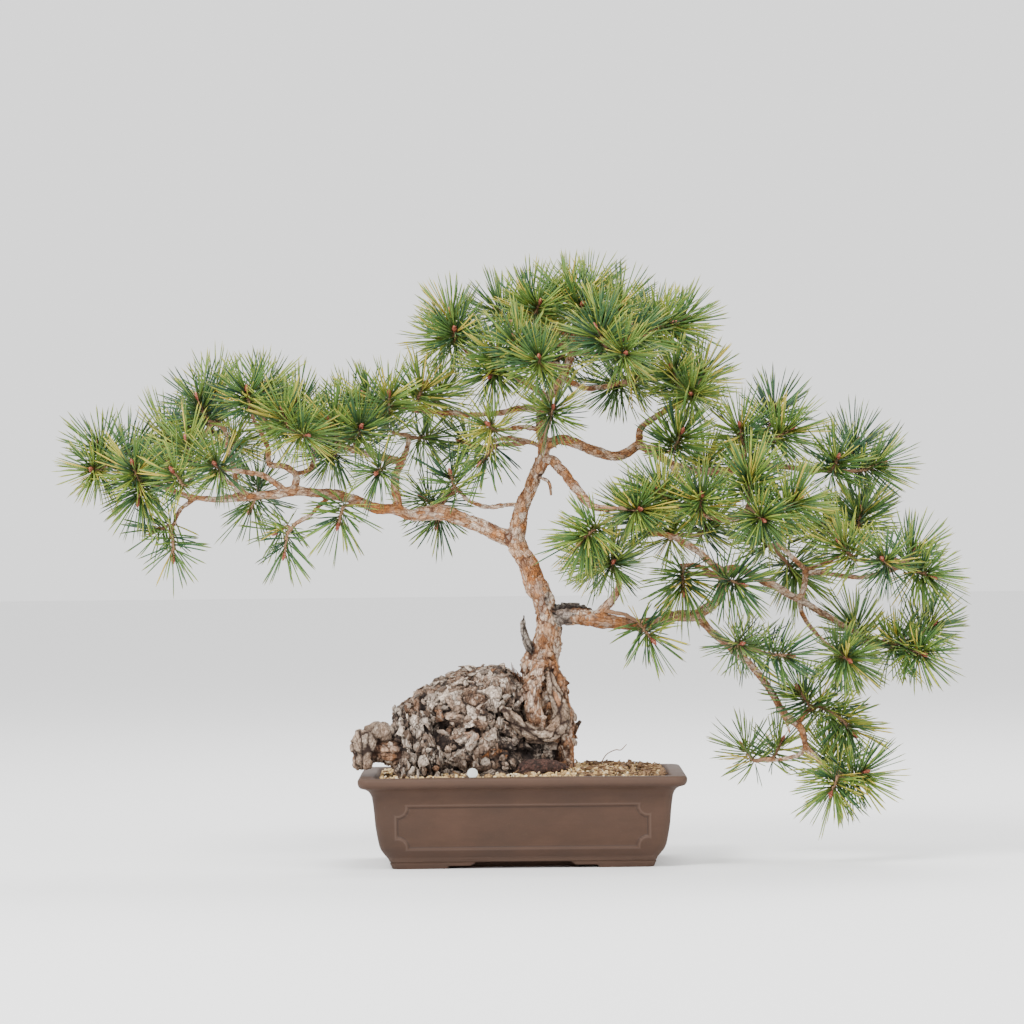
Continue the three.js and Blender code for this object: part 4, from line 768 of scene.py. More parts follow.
# swellings and hollows of the stump's bark: x, z, reach, height, rust, dark; the front ones first; dark is
# painted shade, strongest in the hollows where height is below 0
lobes = [
    (-64, 136, 12, 5, 0.1, 0), (-38, 117, 11, 6, 0.15, 0), (-72, 110, 11, 4, 0.1, 0),
    (-69, 157, 9, 3, 0.2, 0), (-22, 154, 11, 4, 0, 0.1), (-38, 101, 8, 3, 0, 0.3), (-37, 139, 8, 4, 0.3, 0),
    (-2, 109, 7, 3, 0, 0.6), (-91, 137, 9, 2, 0.7, 0), (-43, 162, 8, 1, 0.9, 0), (-14, 115, 6, -8, 0, 1),
    (4, 99, 7, -7, 0, 1), (-55, 86, 6, -4, 0, 0.8), (-54, 124, 5, -3, 0, 0.5), (-6, 128, 7, 2, 0, 0.3),
    (-84, 120, 6, -3, 0, 0.6),
]
backLobes = [
    (-75, 120, 13, 5, 0.2, 0), (-45, 140, 13, 6, 0.1, 0), (-15, 118, 13, 6, 0.3, 0),
    (-50, 100, 10, 4, 0, 0.2), (12, 100, 10, 4, 0.2, 0), (-30, 92, 8, -4, 0, 0.8), (-60, 155, 10, 3, 0.4, 0),
    (-2, 145, 9, 4, 0, 0),
]
# kinds of wood: age (young pink bark to old grey), dead (bare silver wood), red, rust, dark, relief, plates'
# size and squash: above 0 it shortens the plates across the flow, below 0 it draws them out along the limb
kinds = {
    "old": (1.0, 0, 0, 0.08, 0, 2.7, 13.5, 6.0), "ridged": (1.0, 0, 0, 0, 0.3, 2.3, 7.0, -0.93),
    "live": (0.05, 0, 0, 0.25, 0, 0.65, 8.0, -0.6), "column": (0.15, 0, 0, 0.2, 0, 0.5, 7.0, -0.75),
    "strip": (0.3, 0, 0.1, 0.75, 0, 0.8, 6.0, -0.85), "bare": (0.95, 1, 0, 0, 0, 0.8, 7.0, -0.92),
    "hook": (0.75, 0.85, 0, 0.06, 0, 0.95, 10.0, -0.88), "neck": (0.45, 0.1, 0, 0.3, 0.05, 1.1, 8.0, -0.75),
    "knob": (0.8, 0.85, 0, 0.1, 0, 1.0, 9.0, -0.9), "knobTop": (0.8, 0.95, 0, 0.12, 0, 0.5, 15.0, -0.4),
    "burl": (0.6, 0, 0.1, 1.0, 0, 0.5, 5.0, 1.0), "knot": (0.8, 0, 0.75, 0.3, 0.1, 0.8, 5.0, 1.0),
    "redRoot": (1.0, 0, 1.0, 0, 0.25, 0.7, 6.0, -0.6), "flake": (1.0, 0, 0, 0.1, 0.5, 0.45, 5.0, -0.85),
    "collar": (1.0, 0.9, 0, 0, 0.15, 0.9, 4.5, -0.8), "plate": (0.75, 0, 0, 0.1, 0, 0.9, 8.0, 1.0),
    "twig": (0.3, 0, 0, 0.15, 0, 0.12, 5.0, -0.9),
}
kindOf = {
    "innerFold": "column", "hookRoot": "hook", "outerFold": "strip", "redRoot": "redRoot", "neck": "neck",
    "slabOuter": "ridged", "slabInner": "ridged", "deadSpur": "bare", "flakeRight": "flake",
    "collarFlake": "collar", "knobHigh": "knobTop", "knobMain": "knob", "knobLow": "knob", "front": "burl",
    "middle": "knot", "high": "plate", "stump": "old", "deadTwig": "twig",
}


# bare silver scars and dark stains on the trunk and branches, and painted shade in the stump's hollows: x, y,
# z, three half sizes
scars = [(37, -6, 217, 10, 12, 13), (24, -9, 232, 3, 6, 6)]
stainsAndHollowShade = [
    (-21, -5, 297, 7, 10, 5), (96, -9, 210, 3.5, 6, 7), (3, -8, 262, 4, 5, 5), (-10, -6, 287, 4, 6, 9),
    (48, -2, 224, 14, 9, 5), (19, -8, 226, 4, 4, 9), (-76, -8, 310, 3, 8, 4), (-126, -52, 96, 4, 9, 11),
    (10, -40, 131, 2.5, 5, 8), (1, -40, 101, 21, 26, 9), (-16, -46, 113, 9, 12, 6),
]
rusty = [
    (15, -7, 246, 9, 9, 15), (88, -9, 208, 6, 8, 5), (60, -8, 211, 9, 8, 5), (-124, -13, 313, 19, 8, 6),
    (12, -8, 171, 3, 9, 9),
]
# hollows behind the folded roots: x, y, z, reach, depth
hollows = [(19, -37, 137, 17, 23), (2, -46, 103, 8, 9)]


class SeededStream:
    # the same stream that spaces the stump's plates in the solids
    def __init__(self, seed):
        self.state = seed

    def next(self):
        self.state = (self.state + 0x6D2B79F5) & 0xFFFFFFFF
        t = self.state
        t = ((t ^ (t >> 15)) * (1 | t)) & 0xFFFFFFFF
        t ^= (t + (((t ^ (t >> 7)) * (61 | t)) & 0xFFFFFFFF)) & 0xFFFFFFFF
        return ((t ^ (t >> 14)) & 0xFFFFFFFF) / 4294967296


def nearestSeeds(points, seeds, count):
    tree = kdtree.KDTree(len(seeds))
    for k, seed in enumerate(seeds):
        tree.insert(seed, k)
    tree.balance()
    return np.array([[hit[1] for hit in tree.find_n(point, count)] for point in points.tolist()])


def stumpBall():
    points, triangles = icoBall(stump["detail"])
    stream, seeds = SeededStream(stump["stream"]), []
    for i in range(stump["plates"]):
        height = 1 - (2 * (i + 0.5)) / stump["plates"]
        turn = i * goldenTurn + stream.next() * stump["scatter"]
        ring = math.sqrt(1 - height * height)
        seeds.append((ring * math.cos(turn), ring * math.sin(turn), height))
    gaps = np.sort(np.linalg.norm(points[:, None] - np.array(seeds), axis=2), axis=1)
    x, y, z = points.T
    plate = np.minimum((gaps[:, 1] - gaps[:, 0]) * 9, 1)
    bulge = stump["bulge"] * np.sin(x * 5 + 1) + stump["bulge"] * np.sin(z * 6 + y * 4)
    lift = plate * stump["crack"] + bulge + stump["shoulder"] * np.abs(x * z) - stump["crack"]
    placed = points * np.array(stump["half"]) + points * lift[:, None] + np.array(stump["centre"])
    for *middle, reach, depth in hollows:
        apart = ((placed - np.array(middle)) ** 2).sum(1)
        placed -= points * (depth * np.exp(-apart / (2 * reach ** 2)))[:, None]
    for *middle, reach, height, _, _ in lobeTable():
        apart = ((placed - np.array(middle)) ** 2).sum(1)
        placed += points * (1.25 * height * np.exp(-apart / (1.4 * reach ** 2)))[:, None]
    return placed, triangles


def burlBall(centre, half):
    points, triangles = icoBall(4)
    x, y, z = points.T
    swell = 1 + 0.1 * np.sin(5 * x + centre[0]) * np.sin(6 * z + centre[2]) + 0.06 * np.sin(9 * y + 4 * x)
    return points * swell[:, None] * np.array(half) + np.array(centre), triangles


def gnarled(route, seed, amount):
    # uneven thickness and a slight wander, as on slow-grown wood
    points = smoothRoute(route)
    k = np.arange(len(points))
    points[:, 3] *= 1 + amount * (np.sin(k * 0.9 + seed) * 0.5 + np.sin(k * 0.37 + seed * 2.1) * 0.6)
    wander = np.minimum(k, len(k) - 1 - k).clip(0, 4) / 4 * 0.35
    points[:, 0] += wander * np.sin(k * 0.53 + seed * 1.7)
    points[:, 2] += wander * np.cos(k * 0.61 + seed)
    return points


def woodSolid(name, parts, voxel, floor=None):
    heap = Heap()
    for part in parts:
        points, triangles = part["solid"]
        heap.add(points * mm, triangles)
    solid = heap.piece(name, None)
    makeActive(solid)
    remesh = solid.modifiers.new("skin", "REMESH")
    remesh.mode, remesh.voxel_size, remesh.adaptivity = "VOXEL", voxel * mm, 0
    bpy.ops.object.modifier_apply(modifier=remesh.name)
    smooth = solid.modifiers.new("ease", "SMOOTH")
    smooth.factor, smooth.iterations = 0.5, 2
    bpy.ops.object.modifier_apply(modifier=smooth.name)
    if floor is not None:
        startEdit()
        bpy.ops.mesh.bisect(plane_co=(0, 0, floor * mm), plane_no=(0, 0, -1), use_fill=True, clear_outer=True)
        bpy.ops.object.mode_set(mode="OBJECT")
    return solid


def swirlNoise(points, size, shift=0.0):
    # a smooth wandering value, about -1 to 1
    x, y, z = (points / size).T
    a = np.sin(x * 1.9 + 1.7 * np.sin(z * 1.3 + shift) + shift)
    a += np.sin(z * 2.3 + 1.5 * np.sin(y * 1.7 + shift))
    return 0.5 * a + 0.3 * np.sin(y * 3.1 + 2.1 * np.sin(x * 1.1) + z * 1.3 + shift)


def spreadSeeds(points, spacing, count, rng):
    kept, cells = [], {}
    reach = float(spacing.max())
    for k in rng.permutation(len(points))[:count]:
        point, room = points[k], spacing[k]
        cell = tuple((point // reach).astype(int))
        near = [other for dx in (-1, 0, 1) for dy in (-1, 0, 1) for dz in (-1, 0, 1)
                for other in cells.get((cell[0] + dx, cell[1] + dy, cell[2] + dz), ())]
        if near and np.linalg.norm(points[near] - point, axis=1).min() < room:
            continue
        cells.setdefault(cell, []).append(k)
        kept.append(k)
    return np.array(kept)


def lobeTable():
    # each lobe as x, y, z, reach, height, rust, dark, with y on the stump's front or back
    centres = []
    middleX, middleY, middleZ = stump["centre"]
    reachX, reachY, reachZ = stump["lobeReach"]
    for side, rows in ((-1, lobes), (1, backLobes)):
        for x, z, *rest in rows:
            u, w = (x - middleX) / reachX, (z - middleZ) / reachZ
            depth = math.sqrt(max(0.05, 1 - u * u - w * w))
            centres.append((x, middleY + side * reachY * depth, z, *rest))
    return np.array(centres)


def ownersOf(points, parts, groups):
    # which part of the wood each point belongs to, how near the next one is, and the way that part runs
    distance = np.empty((len(parts), len(points)), dtype=np.float32)
    closest = np.zeros((len(parts), len(points)), dtype=np.int32)
    for k, part in enumerate(parts):
        if "half" in part:
            tree = BVHTree.FromPolygons(*(side.tolist() for side in part["solid"]))
            near = [(tree.find_nearest(point), Vector(point)) for point in points.tolist()]
            distance[k] = [math.copysign(hit[3], (point - hit[0]).dot(hit[1])) for hit, point in near]
        else:
            route = part["route"][::2].astype(np.float32)
            away = points.astype(np.float32)[:, None] - route[None, :, :3]
            gap = np.linalg.norm(away, axis=2) - route[:, 3]
            closest[k] = gap.argmin(1)
            distance[k] = gap.min(1)
    owner = distance.argmin(0)
    everyone = np.arange(len(points))
    room = np.full(len(points), 99.0)
    for other in set(groups):
        theirs = np.array(groups) == other
        rivals = ~theirs[owner]
        room[rivals] = np.minimum(room[rivals], (distance[theirs].min(0) - distance[owner, everyone])[rivals])
    tangent, middle = np.zeros((len(points), 3)), points.copy()
    for k, part in enumerate(parts):
        mine = owner == k
        if "half" in part:
            tangent[mine] = (0, 0, 1)
            middle[mine] = part["centre"]
        else:
            route = part["route"][::2]
            tangent[mine] = unitRows(np.gradient(route[:, :3], axis=0), 0)[closest[k][mine]]
            middle[mine] = route[closest[k][mine], :3]
    return owner, room, tangent, middle


def spotted(points, spots):
    # how far inside the nearest spot each point lies, with ragged edges
    depth = np.zeros(len(points))
    for spot in spots:
        reach = np.linalg.norm((points - np.array(spot[:3])) / np.array(spot[3:]), axis=1)
        depth = np.maximum(depth, np.clip((1.15 - reach - 0.25 * swirlNoise(points, 2.6)) * 4, 0, 1))
    return depth


def addBark(solid, parts, seed, grade, scales, finish="bark"):
    # overlapping plates that tip up at one edge, cracks round them, and folds where two parts meet
    rng = np.random.default_rng(seed)
    points = pointsOf(solid.data).astype(float) / mm
    normals = normalsOf(solid.data).astype(float)
    kindRows = [kinds[kindOf.get(part["name"], "live")] for part in parts]
    owner, room, tangent, middle = ownersOf(points, parts, [kindRows.index(row) for row in kindRows])
    age, dead, red, rust, dark, relief, size, squash = np.array(kindRows)[owner].T
    age, relief, size = grade(points, age, relief, size)
    onStump = np.array(["half" in part for part in parts])[owner]
    # the flow of the bark: round the lobes on the stump, across the limb elsewhere
    centres = lobeTable()
    offset = points[:, None] - centres[None, :, :3]
    reach = np.linalg.norm(offset, axis=2)
    weight = 1 / (reach ** 2 + 30) ** 2
    circling = (weight * reach).sum(1) / weight.sum(1)
    outward = ((weight / (reach + 1))[:, :, None] * offset).sum(1)
    swell = np.exp(-reach ** 2 / (2 * (centres[:, 3] * 0.8) ** 2)) * onStump[:, None]
    side = unitRows(np.cross(tangent, np.array([0.25, 0.9, 0.3])))
    flow = np.where(onStump[:, None], outward, np.cross(normals, tangent))
    flow = unitRows(flow - normals * dots(flow, normals)[:, None])
    phase = np.where(onStump, circling, dots(points - middle, side))
    scarred = spotted(points, scars)
    age, dead = np.maximum(age, scarred), np.maximum(dead, scarred)
    # stains, and painted shade in the stump's hollows
    dark = np.maximum(dark, 0.85 * spotted(points, stainsAndHollowShade))
    rust = np.maximum(rust, spotted(points, rusty))
    # the plates: each point belongs to the seed that is nearest by a stretched distance
    kept = spreadSeeds(points, size * 0.8, bark["mostPlates"], rng)
    seeds, squash = points[kept], squash[kept]
    seedFlow = np.where((squash > 0)[:, None], flow[kept], tangent[kept])
    candidates = nearestSeeds(points, seeds.tolist(), min(bark["rivals"], len(seeds)))
    away = points[:, None] - seeds[candidates]
    along = np.einsum("nkj,nkj->nk", away, seedFlow[candidates])
    metric = np.sqrt(np.maximum((away ** 2).sum(2) + squash[candidates] * along ** 2, 0.01))
    metric *= (0.8 + 0.4 * rng.random(len(seeds)))[candidates]
    metric += 0.45 * swirlNoise(points, 3.6)[:, None] * np.array([1, -1] * 5)[None, :metric.shape[1]]
    rank = np.argsort(metric, axis=1)
    everyone = np.arange(len(points))
    mine = candidates[everyone, rank[:, 0]]
    gap = metric[everyone, rank[:, 1]] - metric[everyone, rank[:, 0]]
    tip = rng.normal(size=(len(seeds), 3)) * 0.5 + flow[kept] * np.where(squash > 0, 1.0, 0.4)[:, None]
    tip = unitRows(tip, 0)
    tone, lift, orange = rng.random(len(seeds)), rng.random(len(seeds)), rng.random(len(seeds))
    tilt = np.clip(dots(points - seeds[mine], tip[mine]) / (0.5 * size), -1.3, 1.3)
    # heights: tilted plates, cracks round them, thin leaves between, creases where parts meet
    crack = np.clip(1 - gap / np.maximum(0.2 * size * (1 - 0.55 * np.clip(tilt, -1, 1)), 0.35), 0, 1)
    layer = phase / bark["laminate"] + 0.9 * swirlNoise(points, 15.0, 1.0)
    layer += 0.25 * swirlNoise(points, 4.0, 2.0)
    saw = layer - np.floor(layer)
    leaf = np.clip(relief / 2.0, 0.12, 1.2)
    crease = np.clip(1 - room / bark["crease"], 0, 1)
    height = relief * (0.55 * tilt + 0.8 * (lift[mine] - 0.5) - 0.8 * crack) + leaf * 0.9 * (saw - 0.5)
    height += 0.22 * relief * swirlNoise(points, 3.3, 3.0) - 1.6 * crease * np.clip(relief + 0.4, 0, 1.4)
    step = np.clip((0.16 - saw) / 0.16, 0, 1) * leaf
    # the crevice value darkens the colour: in the cracks partly the bark's own darker colour and partly
    # painted shade, and as painted shade at the foot of each leaf's step, in the creases where parts meet and
    # under the low edges of tipped plates
    crevice = np.clip(np.maximum(1.25 * crack * np.clip(relief * 0.7, 0.35, 1), step) + 0.8 * crease
                      + 0.45 * (tilt < -0.95) * leaf, 0, 1)
    rust = np.clip(rust * (0.5 + orange[mine]) + (swell * centres[:, 5]).sum(1)
                   + 0.9 * (orange[mine] > 0.93) * (tilt < 0), 0, 1)
    foot = 0.45 * (1 - blend(points[:, 2], 78, 108)) * blend(points[:, 0], -60, -20) * onStump
    # the lobes' dark values add painted shade in the stump's hollows
    dark = np.clip(dark + foot + (swell * centres[:, 6]).sum(1), 0, 1)
    raised = points + normals * height[:, None]
    moveTo(solid.data, raised)
    flaky = (dead < 0.5) & (dark < 0.45) & (red < 0.5) & (relief > 0.3)
    growFlakes(raised[flaky], normals[flaky], flow[flaky], age[flaky], rust[flaky], *scales, rng)
    plate = np.clip(tone[mine] + 0.1 * swirlNoise(points, 2.0), 0, 1)
    values = {"crevice": crevice, "plate": plate, "age": age, "dead": dead, "red": red, "rust": rust,
              "dark": dark, "layer": layer}
    for name, value in values.items():
        storeValue(solid.data, name, value)
    solid.data.update()
    makeActive(solid)
    bpy.ops.object.shade_smooth()
    wear(solid, finish)
    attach(solid, "root")
    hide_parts("tree_wood")
    print(solid.name, "made", len(solid.data.polygons))


flake = {"crevice": 0.35, "curl": 0.1, "young": 0.45, "thin": (0.3, 0.5), "root": 0.5}
flakeOutline = np.array([(-0.5, -0.15), (-0.6, 0.45), (-0.25, 1.0), (0.22, 0.86), (0.6, 0.5), (0.45, -0.15)])
corners = len(flakeOutline)
flakeFaces = [(0, k, k + 1) for k in range(1, corners - 1)]
flakeFaces += [(corners, corners + k + 1, corners + k) for k in range(1, corners - 1)]
for corner in range(corners):
    after = (corner + 1) % corners
    flakeFaces += [(corner, corner + corners, after + corners), (corner, after + corners, after)]
flakeFaces = np.array(flakeFaces)
flakes = Heap()


def growFlakes(points, normals, flow, age, rust, count, low, high, tilts, rng):
    # thin scales of bark whose outer edges have come away from the wood
    for k in rng.choice(len(points), count, replace=False):
        normal = unit(normals[k])
        away = unit(flow[k] * rng.choice((-1, 1)) + rng.normal(size=3) * 0.3)
        away = unit(away - normal * away.dot(normal))
        side = np.cross(away, normal)
        angle = math.radians(rng.uniform(*tilts))
        rise = away * math.cos(angle) + normal * math.sin(angle)
        length = rng.uniform(low, high) * (flake["young"] + (1 - flake["young"]) * min(age[k], 1))
        shape = flakeOutline * rng.uniform(0.8, 1.2, (corners, 2))
        across, along = (shape * (length * rng.uniform(0.6, 1.2), length)).T
        face = points[k] - normal * flake["root"] + side * across[:, None] + rise * along[:, None]
        face += np.cross(rise, side) * (flake["curl"] * along ** 2 / length)[:, None]
        thick = np.cross(side, rise) * rng.uniform(*flake["thin"])
        if np.cross(face[2] - face[0], face[3] - face[0]).dot(thick) < 0:
            thick = -thick
        sheet = np.vstack([face + thick, face - thick])
        values = (rng.uniform(0, flake["crevice"]), rng.random(), age[k], 0.0, rust[k] * rng.random(),
                  float(rng.random() < 0.3) * 0.6, rng.random() * 9)
        flakes.add(sheet * mm, flakeFaces, *values)


def limbPart(route, seed, amount, sides, pinch=0.04):
    shaped = gnarled(route, seed, amount)
    return {"route": shaped, "solid": tube(shaped, sides, pinch)}


def cutRoute(route, low, high):
    return [point for point in route if low <= point[2] <= high]


def ageGrade(points, age, relief, size):
    # old grey plates near the ground, thin pink ones above
    low, rough = (1 - blend(points[:, 2], *heights) for heights in ((150, 235), (180, 240)))
    return age + (1 - age) * 0.45 * low, relief * (1 + 0.5 * rough), size * (1 + 0.25 * rough)


trunkLow = cutRoute(limbs["trunk"], 0, bark["lowTrunkTop"])
trunkHigh = cutRoute(limbs["trunk"], bark["highTrunkFoot"], 999)
stumpParts = [{"name": "stump", "centre": stump["centre"], "half": stump["half"], "solid": stumpBall()}]
stumpParts += [{"name": name, "centre": centre, "half": half, "solid": burlBall(centre, half)}
               for name, (centre, half) in burls.items()]
lowRoots = [name for name in roots if name not in ("collarFlake", "deadTwig", "cascadeStub")]
stumpParts += [{"name": name, **limbPart(roots[name], k, 0.05, 20)} for k, name in enumerate(lowRoots)]
stumpParts.append({"name": "trunk", **limbPart(trunkLow, 3, 0.04, 28, 0.05)})
stumpWood = woodSolid("stumpWood", stumpParts, bark["voxelStump"], bark["footOfTree"])
addBark(stumpWood, stumpParts, 11, ageGrade, (1700, 3.8, 9.0, (3, 24)))

# how many of their points these limbs share with the trunk's solid
shared = {"leftMain": 3, "rightMain": 3, "rightHigh": 3, "rightFront": 3}
trunkParts = [{"name": "trunk", **limbPart(trunkHigh, 3, 0.05, 24, 0.05)}]
trunkParts += [{"name": name, **limbPart(limbs[name][:count + 1], 5, 0.03, 16)}
               for name, count in shared.items()]
trunkParts += [{"name": name, **limbPart(roots[name], 8, 0.05, 12)} for name in ("collarFlake", "deadTwig")]
trunkWood = woodSolid("trunkWood", trunkParts, bark["voxelTrunk"])
addBark(trunkWood, trunkParts, 12, ageGrade, (320, 3.2, 6.5, (4, 26)))


def limbGrade(points, age, relief, size):
    # thinner and flatter scales towards the tips
    far = blend(np.abs(points[:, 0]), 60, 300)
    return age + 0.3 * far, relief * (0.9 - 0.35 * far), size * (0.85 - 0.2 * far)


def limbWood(name, chosen, seed, count):
    parts = []
    for k, key in enumerate(chosen):
        route = [list(point) for point in {**limbs, **roots}[key]]
        if key in shared:
            route = route[1:]
            for point in route[:shared[key] - 1]:
                point[3] -= 0.6
        parts.append({"name": key, **limbPart(route, seed + k, 0.07, 14)})
    solid = woodSolid(name, parts, bark["voxelLimb"])
    addBark(solid, parts, seed, limbGrade, (count, 1.8, 3.4, (4, 18)), "limbBark")


limbWood("leftBranches", [k for k in limbs if k.startswith("left")], 21, 90)
limbWood("crownBranches", [k for k in limbs if k.startswith("crown")], 31, 70)
limbWood("rightBranches", [k for k in limbs if k.startswith(("right", "cascade"))] + ["cascadeStub"], 41, 120)
flakeValues = ("crevice", "plate", "age", "dead", "rust", "dark", "layer")
barkFlakes = flakes.piece("barkFlakes", finishes["bark"], *flakeValues)
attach(barkFlakes, "root")
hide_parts("tree_wood")


# the sprays: the limb that carries each, then its buds as [x, y, z, how much the shoot turns up]
sprays = {
    "left_tip": ["leftMain", [-367, -22, 370], [-370, -52, 349, 0.2], [-345, 22, 368]],
    "left_tip_front": ["leftMain", [-333, -64, 352], [-330, -46, 322, -0.6]],
    "left_tip_back": ["leftMain", [-313, 34, 383], [-322, 58, 352, 0.3]],
    "left_low_front": ["leftFront", [-298, -72, 346], [-289, -42, 372]],
    "left_rise": ["leftRise", [-281, -8, 410], [-270, 30, 418], [-290, 18, 384, 0.6], [-252, 56, 374, 0.5]],
    "left_hang": ["leftHang", [-318, -34, 294, -0.1], [-301, -46, 272, -0.9]],
    "left_under": ["leftMain", [-239, 26, 312, -0.7], [-232, 34, 338, 0.6]],
    "left_fork": ["leftFork", [-222, 2, 421], [-236, -34, 416], [-214, 48, 394, 0.6]],
    "left_inner": ["leftInner", [-197, 10, 407], [-176, 44, 392, 0.6]],
    "left_drop": ["leftDrop", [-206, -24, 274, -0.8], [-214, -2, 292, -0.2]],
    "left_cross": ["leftCross", [-262, -66, 352, 0.2]],
    "left_upper_tip": ["leftUpper", [-206, -34, 397, 0.7], [-183, -52, 376, 0.1]],
    "left_upper": [
        "leftUpper", [-149, 14, 404], [-164, -22, 389], [-137, -40, 383, 0.4], [-170, 54, 358, 0.2],
    ],
    "left_below": ["leftMain", [-158, -30, 299, -0.8]],
    "left_star": ["leftUpper", [-123, -62, 343, 0]],
    "left_back": ["leftBack", [-122, 34, 395, 0.6], [-76, 44, 376, 0.1]],
    "left_high": ["leftHigh", [-134, -2, 411], [-113, -26, 411], [-82, -10, 420], [-66, 34, 418, 0.8]],
    "left_mid": ["leftMid", [-60, -12, 342, 0.4], [-73, 24, 298, -0.8], [-86, 28, 322, 0.5]],
    "left_shade": ["leftShade", [-33, -12, 352, -0.6], [-52, 44, 372, 0.2]],
    "left_near": ["leftNear", [-26, -60, 384, 0.2]],
    "crown_far_left": ["crownFarLeft", [-59, -6, 482], [-55, -32, 467, 0.3], [-68, 14, 462, 0.1]],
    "crown_left": ["crownLeft", [-24, -40, 426, -0.2], [-18, -54, 447, 0.5]],
    "crown_front": ["crownFront", [18, -92, 440, 0.3], [-2, -66, 456, 0.6]],
    "crown_top_left": ["crownTop", [-18, 24, 488, 0.7], [14, 8, 497], [19, -36, 489, 0.7]],
    "crown_top": ["trunk", [42, -8, 502], [64, 14, 505], [56, -42, 487, 0.6]],
    "crown_right": ["crownRight", [92, -86, 443, 0.1], [68, -78, 464, 0.6]],
    "crown_right_top": ["crownFarRight", [77, -58, 477, 0.7], [93, 8, 492], [106, -48, 460, 0.3]],
    "crown_far_right": ["crownFarRight", [134, -12, 472, 0.3], [122, 28, 480, 0.8], [148, 6, 476, 0.4]],
    "crown_trunk": ["trunk", [30, -58, 398, 0]],
    "crown_low": ["crownLow", [112, 46, 432, 0.4], [84, 66, 420, 0]],
    "crown_back": ["crownBack", [50, 90, 462, 0.4], [18, 70, 474, 0.8], [86, 68, 474, 0.8], [28, 94, 438, 0]],
    "right_rise": [
        "rightRise", [163, 8, 430, 0.6], [134, -30, 432, 0.5], [150, -38, 409, 0.2], [150, 62, 422, 0.5],
    ],
    "right_bud": ["rightSpine", [141, -44, 375, 0.9]],
    "right_spine_back": ["rightSpine", [168, 56, 352, 0.3], [214, 62, 350, 0.3]],
    "right_peak": ["rightPeak", [193, -28, 380, 0.6], [228, 12, 398], [238, -16, 378, 0.3]],
    "right_spine_tip": ["rightSpine", [278, -30, 352, 0.5], [299, 18, 366, 0.7], [318, -6, 347, 0.2]],
    "right_shelf_left": ["rightShelf", [156, -78, 320, 0.5], [118, -66, 326, 0.4]],
    "right_shelf": ["rightShelf", [199, -76, 338, 0.9], [208, -96, 299, 0], [240, -72, 316, 0.4]],
    "right_front": ["rightFront", [103, -82, 309, 0.1], [52, -84, 282, -0.2]],
    "right_outer": ["rightOuter", [299, -8, 305, 0.7], [306, 34, 312, 0.6], [268, 52, 296, 0.4]],
    "right_edge": [
        "rightEdge", [345, -20, 272, 0.5], [277, -56, 278, 0.6], [312, -72, 264, 0.2], [357, -44, 248, 0],
    ],
    "right_inner": ["rightInner", [80, -66, 264, 0.1], [62, 0, 268, 0.4]],
    "right_hang": ["rightInner", [114, -44, 196, -0.4]],
    "right_behind": ["rightBehind", [136, 68, 292, 0.4], [106, 44, 306, 0.6], [176, 84, 300, 0.5]],
    "right_below": ["rightBelow", [142, -34, 238, -0.6], [192, -54, 243, -0.1]],
    "right_turn": ["rightTurn", [216, 52, 288, 0.5], [250, 50, 246, 0]],
    "right_main_tip": [
        "rightMain", [332, -30, 192, 0.3], [362, -8, 206, 0.3], [349, -48, 181, -0.1], [294, 28, 206, 0.6],
    ],
    "right_down": ["rightDown", [283, -60, 177, 0], [292, -22, 176, 0.2]],
    "cascade_high": ["cascade", [191, -54, 192, 0.1], [232, -58, 181, 0.1], [207, 34, 186, 0.3]],
    "cascade_out": ["cascadeOut", [276, -2, 126, 0], [290, -18, 112, -0.2], [243, -18, 150, 0.6]],
    "cascade_tip": ["cascade", [298, -36, 78, 0.1], [272, 12, 92, 0.6], [268, -48, 62, -0.7]],
    "cascade_in": ["cascadeIn", [196, 28, 98, 0.5], [231, 30, 102, 0.6]],
}
spray = {
    "depth": 1.18, "gap": 0.35, "twig": 1.9, "taper": 0.12, "shoot": 16.0, "longTwig": 42, "turnUp": 0.9,
    "forks": (0.22, 0.5, 0.78),
}


def budSpot(bud):
    return np.array([bud[0], bud[1] * spray["depth"], bud[2]], dtype=float)


def pointOn(route, share):
    scaled = min(max(share, 0.0), 1.0) * (len(route) - 1)
    index = min(int(scaled), len(route) - 2)
    low, high = route[index], route[index + 1]
    return low + (high - low) * (scaled - index)


def leavingPoint(route, place):
    steps, best = len(route) * 6, None
    for i in range(1, steps + 1):
        here, before = pointOn(route, i / steps), pointOn(route, (i - 1) / steps)
        forward = unit(here[:3] - before[:3])
        away = place - here[:3]
        ahead = forward.dot(unit(away))
        cost = np.linalg.norm(away) * (1.25 - 0.45 * ahead) + (30 if ahead > 0.85 and i < steps else 0)
        if best is None or cost < best["cost"]:
            best = {"cost": cost, "place": here[:3], "radius": here[3], "forward": forward,
                    "isEnd": i == steps, "share": i / steps}
    return best


def bezier(start, startWay, end, endWay, count):
    reach = np.linalg.norm(end - start) * 0.35
    p1, p2 = start + startWay * reach, end - endWay * reach
    t = np.linspace(0, 1, count + 1)[:, None]
    return (1 - t) ** 3 * start + 3 * (1 - t) ** 2 * t * p1 + 3 * (1 - t) * t * t * p2 + t ** 3 * end


def shootFrom(place, startWay, bud):
    spot = budSpot(bud)
    heading = unit(unit(spot - place) + np.array([0, 0, bud[3] if len(bud) > 3 else spray["turnUp"]]))
    foot = spot - heading * spray["shoot"]
    long = np.linalg.norm(foot - place)
    count = 3 if long > spray["longTwig"] else 2
    coarse = bezier(place, startWay, foot, heading, count)
    route = np.column_stack([coarse, spray["twig"] - spray["taper"] * np.arange(count + 1)])
    fine = bezier(place, startWay, foot, heading, max(4, int(long / 2.5)))
    return {"route": route, "fine": fine, "bud": spot, "heading": heading, "foot": foot}


